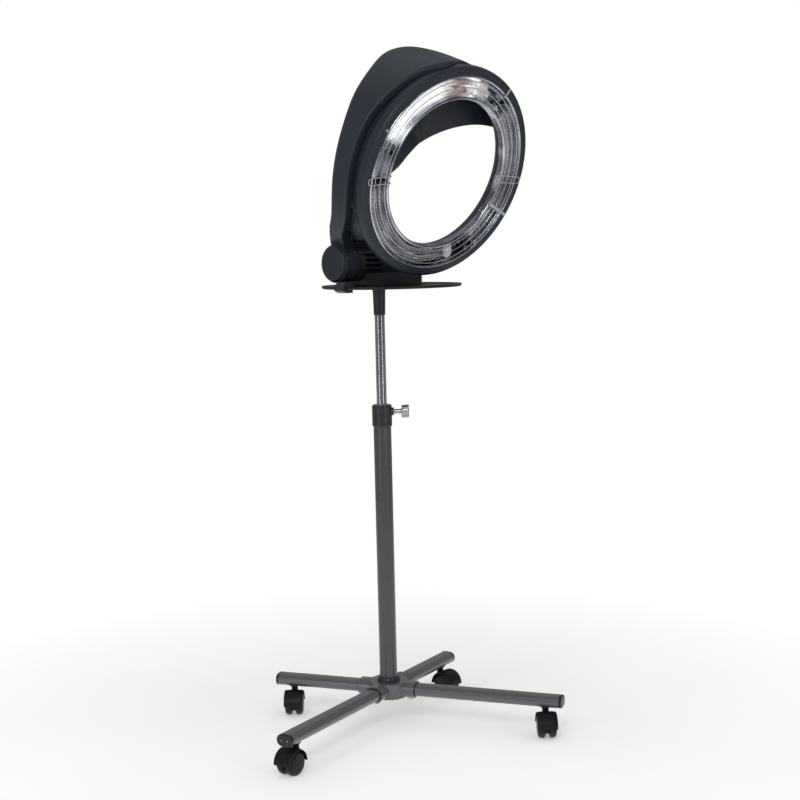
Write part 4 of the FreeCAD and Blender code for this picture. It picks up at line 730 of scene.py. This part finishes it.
class STAND_OT_end_blocks(StandStep):
    """Two large white ceramic blocks with rows of vent holes, and dark steel ferrules at the other ends"""
    bl_idname = "stand.end_blocks"
    bl_label = "Lamp end blocks"

    def execute(self, context):
        whole = piece("steatite_end_blocks", *merged([self.block(*sizes) for sizes in BIG_BLOCKS]),
                      steatite, "hood", "white_ceramic", HEAD)
        subdivide(whole, 2)
        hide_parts("lamp_end_blocks")
        depth = settings().lamps.depth
        ends = []
        for angle in FERRULE_ANGLES:
            for radius in tube_radii():
                ends.append(tube(arc_path(radius, depth, angle - FERRULE_HALF, angle + FERRULE_HALF, 4),
                                 FERRULE_RADIUS, 20))
                ends.append(tube(arc_path(radius, depth + LEAD_BEHIND, angle - LEAD_HALF, angle + LEAD_HALF, 2),
                                 LEAD_RADIUS, 12))
        crease(piece("tube_ferrules", *merged(ends), oxidised_steel, "hood", "dark_collar", HEAD))
        squares = merged([self.block(*sizes, SMALL_BLOCK_DEPTH) for sizes in SMALL_BLOCKS])
        subdivide(piece("lead_insulators", *squares, oxidised_steel, "hood", "dark_collar", HEAD), 1)
        return {"FINISHED"}

    def block(self, angle, way, length, width, height, columns, rows, front=0.0):
        """One rounded block with a grid of holes in its front, which is set back by front."""
        length, width, height = length * MM, width * MM, height * MM
        work = bmesh.new()
        bmesh.ops.create_cube(work, size=1.0)
        bmesh.ops.scale(work, vec=(length, height, width), verts=work.verts)
        for step in range(1, columns):
            self.cut(work, (-length / 2 + length * step / columns, 0, 0), (1, 0, 0))
        for step in range(1, rows):
            self.cut(work, (0, 0, -width / 2 + width * step / rows), (0, 0, 1))
        for vert in work.verts:
            if abs(abs(vert.co.x) - length / 2) < MM / 10 and abs(abs(vert.co.z) - width / 2) < MM / 10:
                vert.co.x *= CORNER_SHARES[0]
                vert.co.z *= CORNER_SHARES[1]
        for vert in work.verts:
            if vert.co.y < 0:
                vert.co.y += CROWNS[0] * (2 * vert.co.z / width) ** 2 + CROWNS[1] * (2 * vert.co.x / length) ** 2
        faces = [face for face in work.faces if face.normal.y < -0.6]
        rim = min(length / columns, width / rows)
        for share, depth in HOLE_STEPS:
            bmesh.ops.inset_individual(work, faces=faces, thickness=rim * share, depth=depth * MM)
        turn = Matrix.Rotation(math.radians(angle), 4, "Y")
        shift = Vector((way * length / 2, BLOCK_DEPTH * MM + front * MM + height / 2, settings().lamps.middle_radius))
        verts = [turn @ (vert.co + shift) for vert in work.verts]
        work.verts.index_update()
        faces = [tuple(vert.index for vert in face.verts) for face in work.faces]
        work.free()
        return verts, faces

    def cut(self, work, spot, normal):
        everything = work.verts[:] + work.edges[:] + work.faces[:]
        bmesh.ops.bisect_plane(work, geom=everything, plane_co=spot, plane_no=normal)


# Guard, clips and screw in millimetres and degrees
GUARD_RADII = (162.5, 175.5, 188.5)
GUARD_DEPTH = 0.8
GUARD_WIRE = 0.9
HAIRPIN_ANGLES = (-95.0, 92.7)
HAIRPIN_HALF = 7.0
HAIRPIN_WIRE = 0.95
HAIRPIN_LINE = ((7, 149.4), (3, 148.9), (-0.8, 150.6), (-1.9, 153.6), (-1.9, 195))
LOOP_RADIUS = 201
LOOP_RISE = 0.6
CLIP_SHEET = 0.9
CLIP_LEAN_SHARE = 0.4
CLIP_TONGUE = [(201.0, -1.0), (208.0, -0.8), (211.5, -0.4), (213.5, 1.6)]
CLIP_SHORT = [(191.5, -0.2), (193.0, -2.2), (197.0, -2.4)]
CLIP_OVER = [(151.4, 6.0), (150.0, 2.0), (151.2, -1.2), (154.0, -2.2), (176.0, -2.0), (197.0, -2.2)]
CLIPS = ((33.0, CLIP_SHORT, 4.5), (114.0, CLIP_OVER, 6))
LENS_DOME = [(0.0, -1.9), (1.3, -1.7), (2.5, -1.2), (3.2, -0.4), (3.4, 0.5)]
LENS_PLACE = (-66, 203.5)
SKIRT_SCREW_ANGLE = -115.5
SKIRT_SCREW_DEPTH = 38
SKIRT_SCREW_RADII = (204.0, 206.0, 208.4)
SKIRT_SCREW_HALF = 2.6


class STAND_OT_guard(StandStep):
    """Round guard wires, hairpin struts welded across them, spring clips, a small lens and a screw"""
    bl_idname = "stand.guard"
    bl_label = "Guard wires"

    def execute(self, context):
        rings = []
        for radius in GUARD_RADII:
            path = [on_ring(360 * step / 180, radius * MM, GUARD_DEPTH * MM) for step in range(180)]
            rings.append(tube(path, GUARD_WIRE * MM, 8, closed=True))
        whole = piece("guard_wires", *merged(rings), drawn_wire, "hood", "guard_chrome", HEAD)
        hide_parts("lamp_guard_wires")
        bent = piece("hairpin_struts", *merged([self.hairpin(angle) for angle in HAIRPIN_ANGLES]),
                     drawn_wire, "hood", "guard_chrome", HEAD)
        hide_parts("guard_struts")
        clips = [self.clip(angle, line + CLIP_TONGUE, width) for angle, line, width in CLIPS]
        springs = piece("spring_clips", *merged(clips), drawn_wire, "hood", "guard_chrome", HEAD)
        crease(springs, 35)
        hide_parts("reflector_clips")
        # The lens's pale green-blue speck is partly a painted glint on the ring's face.
        lens = lathe(in_mm(LENS_DOME), 16, round_axis(on_ring(LENS_PLACE[0], LENS_PLACE[1] * MM, 0), Y, Z))
        piece("ring_face_lens", *lens, glint_lens_glass, "hood", "lamp_glass", HEAD)
        path = [on_ring(SKIRT_SCREW_ANGLE, radius * MM, SKIRT_SCREW_DEPTH * MM) for radius in SKIRT_SCREW_RADII]
        screw = tube(path, SKIRT_SCREW_HALF * MM, 16)
        piece("skirt_screw", *screw, oxidised_steel, "hood", "dark_collar", HEAD)
        return {"FINISHED"}

    def hairpin(self, angle):
        """Two legs hooked behind the hole's edge and a loop that stands off the outer lip."""
        path = [Vector((-HAIRPIN_HALF, depth, radius)) * MM for depth, radius in HAIRPIN_LINE]
        front = HAIRPIN_LINE[-1][0]
        for step in range(13):
            turn = math.pi * step / 12
            path.append(Vector((-HAIRPIN_HALF * math.cos(turn), front - LOOP_RISE * math.sin(turn),
                                LOOP_RADIUS + HAIRPIN_HALF * math.sin(turn))) * MM)
        path += [Vector((-spot.x, spot.y, spot.z)) for spot in reversed(path[:len(HAIRPIN_LINE)])]
        turn = Matrix.Rotation(math.radians(angle), 4, "Y")
        return tube([turn @ spot for spot in path], HAIRPIN_WIRE * MM, 10)

    def clip(self, angle, line, width):
        """A folded strip along (radius, depth) points in millimetres."""
        verts = []
        for radius, depth in line:
            for side in (-width / 2, width / 2):
                verts.append(Vector((side, depth, radius)) * MM)
                verts.append(Vector((side, depth - CLIP_SHEET, radius + CLIP_SHEET * CLIP_LEAN_SHARE)) * MM)
        faces = []
        for place in range(len(line) - 1):
            here = place * 4
            there = here + 4
            faces += [(here, there, there + 1, here + 1), (here + 2, here + 3, there + 3, there + 2),
                      (here + 1, there + 1, there + 3, here + 3), (here, here + 2, there + 2, there)]
        faces += [(0, 1, 3, 2), (len(verts) - 4, len(verts) - 2, len(verts) - 1, len(verts) - 3)]
        turn = Matrix.Rotation(math.radians(angle), 4, "Y")
        return [turn @ vert for vert in verts], faces


# Hub cap and screw as (radius, x), and the drum's louvre slots, in millimetres and degrees
HUB_CAP = [(0, -128), (27, -128), (31, -127.8), (34.2, -126.9), (36.4, -125.2), (37.6, -122.9), (37.9, -121.4),
           (37.2, -120.9), (37.2, -120.2), (38.6, -120.1), (39.6, -119.4), (40, -118.2), (40, -118), (0, -118)]
COVER_SCREW = [(0, 98.1), (1.3, 98.1), (1.4, 99.0), (2.7, 98.8), (3.1, 98.3), (3.2, 97.9)]
COVER_SCREWS = ((-26, 22), (26, 22), (-26, -38), (26, -38))
LOUVRE_RADIUS = 39.0
LOUVRE_STEP = 16.5
LOUVRE_ENDS = (-65.0, -23.0)
LOUVRE_HALVES = (3.4, 3.0)
LOUVRE_LIP = 0.85


class STAND_OT_hub_cap(StandStep):
    """Stepped cap on the drum's left end, rounded lips on its louvres and screws in its end cover"""
    bl_idname = "stand.hub_cap"
    bl_label = "Hub cap"

    def execute(self, context):
        cap = crease(piece("hub_cap_stepped", *self.turned(HUB_CAP), slate_abs, "hood", "slate_plastic", DRUM))
        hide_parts("hub_cover")
        lips = []
        for step in range(4):
            middle_turn = math.radians(LOUVRE_STEP * (step - 1.5))
            path = []
            for across, lift in self.slot_line():
                turn = middle_turn + lift / LOUVRE_RADIUS
                path.append(Vector((across, -LOUVRE_RADIUS * math.cos(turn), LOUVRE_RADIUS * math.sin(turn))) * MM)
            lips.append(tube(path, LOUVRE_LIP * MM, 8, closed=True))
        piece("louvre_lips", *merged(lips), cap_plastic, "head_base", "black_plastic", DRUM)
        screws = [self.turned(COVER_SCREW, across, up) for across, up in COVER_SCREWS]
        piece("end_cover_screws", *merged(screws), zinc_plate, "head_base", "zinc_steel", DRUM)
        return {"FINISHED"}

    def slot_line(self):
        """Points (x, height) round one louvre slot, with round ends."""
        line = []
        for step in range(24):
            turn = 2 * math.pi * step / 24
            middle_x = LOUVRE_ENDS[1] if math.cos(turn) >= 0 else LOUVRE_ENDS[0]
            line.append((middle_x + LOUVRE_HALVES[0] * math.cos(turn), LOUVRE_HALVES[1] * math.sin(turn)))
        return line

    def turned(self, line, across=0, up=0):
        """(radius, x) points turned about a line along x."""
        return lathe(in_mm(line), 64, round_axis(Vector((0, across, up)) * MM, X, Y))


# Timer scale in millimetres and degrees
SCALE_LEVEL = 12
SCALE_STEP = 10
NUMBER_RADIUS = 19.6
NUMBER_SIZE = 4.4
NUMBER_PLANE = 98.05
DASH_PLANE = 98.02
DASH_HALF = 0.3
DASH_HEIGHT = 0.12
MARKS_A_NUMBER = 5
LONG_MARK = (15.7, 17.2)
SHORT_MARK = (16.1, 17.0)
POINTER = (3.0, 10.6)
POINTER_PLANE = 112.35


class STAND_OT_end_panel(StandStep):
    """Printed scale round the timer knob, and the knob's pointer"""
    bl_idname = "stand.end_panel"
    bl_label = "End panel"

    def execute(self, context):
        marks = []
        for step in range(31):
            turn = math.radians(SCALE_STEP * step)
            numbered = step % MARKS_A_NUMBER == 0
            marks.append(self.dash(turn, *(LONG_MARK if numbered else SHORT_MARK), DASH_PLANE))
            if numbered:
                marks.append(self.number(str(2 * step), NUMBER_RADIUS * math.sin(turn),
                                         SCALE_LEVEL + NUMBER_RADIUS * math.cos(turn)))
        piece("timer_scale", *merged(marks), print_white, "head_base", "white_ceramic", DRUM)
        piece("timer_pointer", *self.dash(0.0, *POINTER, POINTER_PLANE), print_white,
              "timer_knob", "white_ceramic", DRUM)
        return {"FINISHED"}

    def number(self, words, left, up):
        """A number as flat mesh on the end cover, read from outside."""
        line = bpy.data.curves.new("scale_number", "FONT")
        line.body = words
        line.size = NUMBER_SIZE * MM
        line.align_x = "CENTER"
        line.align_y = "CENTER"
        line.extrude = DASH_HEIGHT / 2 * MM
        thing = bpy.data.objects.new("scale_number", line)
        bpy.context.scene.collection.objects.link(thing)
        mesh = bpy.data.meshes.new_from_object(thing.evaluated_get(bpy.context.evaluated_depsgraph_get()))
        corner = Vector((NUMBER_PLANE, -left, up)) * MM
        verts = [corner + Vector((vert.co.z, vert.co.x, vert.co.y)) for vert in mesh.vertices]
        faces = [tuple(polygon.vertices) for polygon in mesh.polygons]
        bpy.data.objects.remove(thing)
        return verts, faces

    def dash(self, turn, near, far, along):
        """A thin bar that points away from the timer's axis."""
        verts = []
        for height in (0.0, DASH_HEIGHT):
            for reach, side in ((near, -DASH_HALF), (near, DASH_HALF), (far, DASH_HALF), (far, -DASH_HALF)):
                left = reach * math.sin(turn) + side * math.cos(turn)
                up = SCALE_LEVEL + reach * math.cos(turn) - side * math.sin(turn)
                verts.append(Vector((along + height, -left, up)) * MM)
        faces = [(0, 3, 2, 1), (4, 5, 6, 7), (0, 1, 5, 4), (1, 2, 6, 5), (2, 3, 7, 6), (3, 0, 4, 7)]
        return verts, faces


# Each leg's heading in degrees and its reach, then (radius, height or side) outlines, in millimetres
LEGS = {"front_right": (-61.4, 388), "front_left": (-163.8, 388),
        "rear_left": (118.6, 262), "rear_right": (16.2, 262)}
SWIVEL_INSET = 38
CROWN_HALF = [(27.6, 21.0), (28.4, 20.0), (29.1, 17.5), (29.5, 14.0), (29.6, 8.0)]
CROWN = CROWN_HALF + [(29.6, 0.0)] + [(radius, -side) for radius, side in reversed(CROWN_HALF)]
UNDER_CROWN = [(26.2, -20.6), (26.6, -17.0), (26.6, -3.8), (26.6, 3.8), (26.6, 17.0), (26.2, 20.6)]
WEB = [(1.0, -3.8), (27.0, -3.8), (27.0, 3.8), (1.0, 3.8)]
BOSS = [(0, -3.8), (15.6, -3.8), (17.0, -2.4), (17.0, 2.4), (15.6, 3.8), (0, 3.8)]
AXLE = [(0, -17.6), (2.6, -17.6), (3.0, -17.2), (3.0, 17.2), (2.6, 17.6), (0, 17.6)]
POST = [(0, 44.0), (7.8, 44.0), (7.4, 50.0), (7.0, 53.0), (7.0, 56.6), (6.0, 57.6), (5.0, 57.7), (5.0, 79.0),
        (4.0, 80.0), (0, 80.0)]
WHEEL = [(3.4, 4.2), (20.8, 4.2), (22.6, 4.8), (24.2, 6.2), (24.9, 8.0), (25.0, 10.0), (24.9, 12.4), (24.4, 14.6),
         (23.4, 16.6), (21.8, 18.2), (20.4, 19.0), (19.8, 18.8), (19.4, 18.8), (19.0, 19.3), (17.0, 19.7),
         (13.0, 20.0), (8.0, 20.1), (0.0, 20.1)]


class STAND_OT_castors(StandStep):
    """Twin-wheel castors: domed wheels under a rounded hood, with the web, boss and stem between them"""
    bl_idname = "stand.castors"
    bl_label = "Castors"

    def execute(self, context):
        for name, (angle, reach) in LEGS.items():
            pair = [middle("castor_wheel_" + name + "_" + side) for side in ("left", "right")]
            centre = (pair[0] + pair[1]) / 2
            swivel = COLUMN + Matrix.Rotation(math.radians(angle), 3, "Z") @ X * (reach - SWIVEL_INSET) * MM
            self.frame(name, centre, (pair[1] - pair[0]).normalized(), swivel)
            for side, spot in zip(("left", "right"), pair):
                self.wheel(name + "_" + side, centre, (spot - centre).normalized())
        return {"FINISHED"}

    def frame(self, name, centre, outward, swivel):
        """The hood and the web take up the upper half turn."""
        point = round_axis(centre, outward, Z.cross(outward))
        parts = [lathe(in_mm(line), 40, point, True, 0.0, 180.0) for line in (CROWN + UNDER_CROWN, WEB)]
        parts += [lathe(in_mm(BOSS), 40, point), lathe(in_mm(AXLE), 24, point),
                  lathe(in_mm(POST), 32, round_axis(swivel, Z, X))]
        body = piece("castor_hood_" + name, *merged(parts), castor_nylon, "castor_" + name, "castor_black")
        crease(body)
        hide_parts("castor_frame_" + name)

    def wheel(self, name, centre, outward):
        wheel = lathe(in_mm(WHEEL), 72, round_axis(centre, outward, Z.cross(outward)))
        disc = piece("domed_wheel_" + name, *wheel, castor_nylon, "wheel_" + name, "castor_black")
        crease(disc)
        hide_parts("castor_wheel_" + name)


# Leg trim in millimetres
LEG_LEVEL = 74.5
SEAL_REACH = 64.6
SEAL_HALF = 6.5
SEAL_RADIUS = 13.1
SEAL_BEAD = 1.1
PIN_SIDE = 7
PIN = [(0.0, 0.5), (0.9, 0.4), (1.6, 0.0), (1.95, -0.6), (1.95, -2.0)]
WASHER = [(11.3, 695.6), (17.6, 695.6), (18.2, 696.2), (17.6, 696.9), (12.0, 697.1), (11.3, 696.6)]


class STAND_OT_leg_trim(StandStep):
    """Black seals where the legs leave the hub, pale pins in the leg caps and a washer on the clamp collar"""
    bl_idname = "stand.leg_trim"
    bl_label = "Leg trim"

    def execute(self, context):
        seals, pins = [], []
        for angle, reach in LEGS.values():
            turn = Matrix.Rotation(math.radians(angle), 3, "Z")
            seals.append(self.seal(turn))
            for side in (-PIN_SIDE, PIN_SIDE):
                centre = COLUMN + turn @ Vector((reach, side, LEG_LEVEL)) * MM
                pins.append(lathe(in_mm(PIN), 16, round_axis(centre, turn @ X, turn @ Y)))
        piece("leg_seals", *merged(seals), cap_plastic, "stand", "black_plastic")
        piece("cap_pins", *merged(pins), zinc_plate, "stand", "zinc_steel")
        ring = lathe(in_mm(WASHER), 48, round_axis(COLUMN, Z, X), True)
        piece("collar_top_washer", *ring, zinc_plate, "stand", "zinc_steel")
        return {"FINISHED"}

    def seal(self, turn):
        """A flat-oval band round the leg at the mouth of its collar."""
        path = []
        for step in range(48):
            way = 2 * math.pi * step / 48
            side = SEAL_HALF if math.cos(way) >= 0 else -SEAL_HALF
            spot = Vector((SEAL_REACH, side + SEAL_RADIUS * math.cos(way), LEG_LEVEL + SEAL_RADIUS * math.sin(way)))
            path.append(COLUMN + turn @ spot * MM)
        return tube(path, SEAL_BEAD * MM, 8, closed=True)


# How bright the white surroundings and the floor near the stand are in gloss and metal
MIRRORED_LEVEL = 0.3
MIRRORED_FLOOR = 0.85
# How bright the dark part of the room in front of the lamps is, and which way it lies
DARK_LEVEL = 0.05
DARK_WAY = (-0.55, -0.83, 0.1)
SOFT_LEVEL = 0.45
FLOOR_REACH = 9.0
FLOOR_LIFT = 0.3
# Place from the column's foot, width, height and watts
LIGHTS = {
    "overhead_softbox": ((0.0, 0.2, 3.4), 2.2, 2.2, 4),
    "key_softbox": ((-2.4, -2.0, 2.7), 1.3, 1.3, 34),
    "left_strip": ((-3.0, -0.35, 1.2), 0.3, 2.2, 8),
    "right_strip": ((0.1, -3.1, 1.2), 0.3, 2.2, 8),
}
LIGHTS_AIM = 0.95
# Camera fitted to the photograph
CAMERA_AWAY = 3.075
CAMERA_HEIGHT = 1.044
CAMERA_HEADING = math.radians(-41.4)
CAMERA_TURNS = [math.radians(value) for value in (0.73, 6.29, 1.35)]
SENSOR_WIDTH = 36.0
FOCAL_LENGTH = 65.07


class STAND_OT_stage(StandStep):
    """Pale floor, soft studio lights, white surroundings and the camera"""
    bl_idname = "stand.stage"
    bl_label = "Stage"

    def execute(self, context):
        self.floor()
        self.surroundings(context)
        self.lights()
        self.camera(context)
        context.scene.view_settings.view_transform = "Standard"
        return {"FINISHED"}

    def floor(self):
        """White sheet that keeps the stand's shadow and runs into the white surroundings."""
        mesh = bpy.data.meshes.new("studio_floor")
        corners = [(x * FLOOR_REACH, y * FLOOR_REACH, 0) for x, y in ((-1, -1), (1, -1), (1, 1), (-1, 1))]
        mesh.from_pydata(corners, [], [(0, 1, 2, 3)])
        thing = bpy.data.objects.new("studio_floor", mesh)
        bpy.context.scene.collection.objects.link(thing)
        material, place = start_material("studio_floor_white")
        matte = add(material, "ShaderNodeBsdfDiffuse",
                    Color=mottle(material, place, 900, linear("#f2f2f2"), linear("#fafafa")))
        seen = self.seen(material)
        lift = add(material, "ShaderNodeMath", {"operation": "MULTIPLY"}, n0=seen, n1=FLOOR_LIFT)
        near = add(material, "ShaderNodeAddShader", n0=matte.outputs[0],
                   n1=add(material, "ShaderNodeEmission", Strength=lift.outputs[0]).outputs[0])
        far = add(material, "ShaderNodeEmission", Strength=1.0)
        away = add(material, "ShaderNodeVectorMath", {"operation": "LENGTH"}, n0=place).outputs["Value"]
        fade = add(material, "ShaderNodeMapRange", Value=away, From_Min=0.5, From_Max=1.3)
        part = add(material, "ShaderNodeMath", {"operation": "MULTIPLY"}, n0=seen, n1=fade.outputs["Result"])
        white = add(material, "ShaderNodeMixShader", n0=part.outputs[0], n1=near.outputs[0], n2=far.outputs[0])
        level = add(material, "ShaderNodeMapRange", Value=away, From_Min=1.0, From_Max=3.0,
                    To_Min=MIRRORED_FLOOR, To_Max=MIRRORED_LEVEL).outputs["Result"]
        mirrored = add(material, "ShaderNodeEmission", Strength=level)
        glossy = add(material, "ShaderNodeLightPath").outputs["Is Glossy Ray"]
        finish_material(material, add(material, "ShaderNodeMixShader",
                                      n0=glossy, n1=white.outputs[0], n2=mirrored.outputs[0]))
        mesh.materials.append(material)

    def seen(self, owner):
        """1 for what the camera sees, straight or through glass."""
        ray = add(owner, "ShaderNodeLightPath")
        return add(owner, "ShaderNodeMath", {"operation": "MAXIMUM"}, n0=ray.outputs["Is Camera Ray"],
                   n1=ray.outputs["Is Transmission Ray"]).outputs[0]

    def surroundings(self, context):
        """White for the camera and through glass, dimmer in gloss and metal, dark in front of the lamps."""
        world = bpy.data.worlds.new("studio")
        world.use_nodes = True
        world.node_tree.nodes.clear()
        way = add(world, "ShaderNodeTexCoord").outputs["Generated"]
        toward = add(world, "ShaderNodeVectorMath", {"operation": "DOT_PRODUCT"}, n0=way, n1=DARK_WAY)
        dim = add(world, "ShaderNodeMapRange", Value=toward.outputs["Value"], From_Min=-0.25, From_Max=0.5,
                  To_Min=MIRRORED_LEVEL, To_Max=DARK_LEVEL).outputs["Result"]
        glossy = add(world, "ShaderNodeLightPath").outputs["Is Glossy Ray"]
        unseen = add(world, "ShaderNodeMix", n0=glossy, n2=SOFT_LEVEL, n3=dim).outputs[0]
        strength = add(world, "ShaderNodeMix", n0=self.seen(world), n2=unseen, n3=1.0).outputs[0]
        glow = add(world, "ShaderNodeBackground", Color=(1, 1, 1, 1), Strength=strength)
        add(world, "ShaderNodeOutputWorld", Surface=glow.outputs[0])
        context.scene.world = world

    def lights(self):
        focus = COLUMN + Z * LIGHTS_AIM
        for name, (place, width, height, power) in LIGHTS.items():
            light = bpy.data.lights.new(name, "AREA")
            light.shape = "RECTANGLE"
            light.size = width
            light.size_y = height
            light.energy = power
            thing = bpy.data.objects.new(name, light)
            thing.location = COLUMN + Vector(place)
            thing.rotation_euler = (focus - thing.location).to_track_quat("-Z", "Y").to_euler()
            bpy.context.scene.collection.objects.link(thing)

    def camera(self, context):
        """The camera stands level with the drum and looks a little down, turned past the ring's face."""
        yaw, pitch, roll = CAMERA_TURNS
        level = Matrix.Rotation(CAMERA_HEADING - yaw, 3, "Z")
        right = level @ X
        ahead = level @ Y
        look = ahead * math.cos(pitch) - Z * math.sin(pitch)
        up = ahead * math.sin(pitch) + Z * math.cos(pitch)
        across = right * math.cos(roll) - up * math.sin(roll)
        upright = up * math.cos(roll) + right * math.sin(roll)
        lens = bpy.data.cameras.new("camera")
        lens.sensor_width = SENSOR_WIDTH
        lens.sensor_fit = "HORIZONTAL"
        lens.lens = FOCAL_LENGTH
        lens.clip_end = 50.0
        thing = bpy.data.objects.new("camera", lens)
        turn = Matrix((across, upright, -look)).transposed().to_4x4()
        spot = COLUMN + Matrix.Rotation(CAMERA_HEADING, 3, "Z") @ Vector((0, -CAMERA_AWAY, 0)) + Z * CAMERA_HEIGHT
        thing.matrix_world = Matrix.Translation(spot) @ turn
        context.scene.collection.objects.link(thing)
        context.scene.camera = thing


STEPS = (
    STAND_OT_finishes,
    STAND_OT_reflector,
    STAND_OT_lamps,
    STAND_OT_end_blocks,
    STAND_OT_guard,
    STAND_OT_hub_cap,
    STAND_OT_end_panel,
    STAND_OT_castors,
    STAND_OT_leg_trim,
    STAND_OT_stage,
)


class STAND_PT_panel(bpy.types.Panel):
    """Lists the steps that dress the stand"""
    bl_idname = "STAND_PT_panel"
    bl_label = "Hair processor stand"
    bl_space_type = "VIEW_3D"
    bl_region_type = "UI"
    bl_category = "Stand"

    def draw(self, context):
        for step in STEPS:
            self.layout.operator(step.bl_idname)


GROUPS = (FinishColours, LampSizes, ReflectorSizes, StandSettings)


def register():
    for kind in GROUPS + STEPS + (STAND_PT_panel,):
        bpy.utils.register_class(kind)
    bpy.types.Scene.stand_settings = PointerProperty(type=StandSettings)


def unregister():
    del bpy.types.Scene.stand_settings
    for kind in reversed(GROUPS + STEPS + (STAND_PT_panel,)):
        bpy.utils.unregister_class(kind)


def main():
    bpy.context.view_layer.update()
    register()
    for step in STEPS:
        family, name = step.bl_idname.split(".")
        getattr(getattr(bpy.ops, family), name)()


if __name__ == "__main__":
    main()
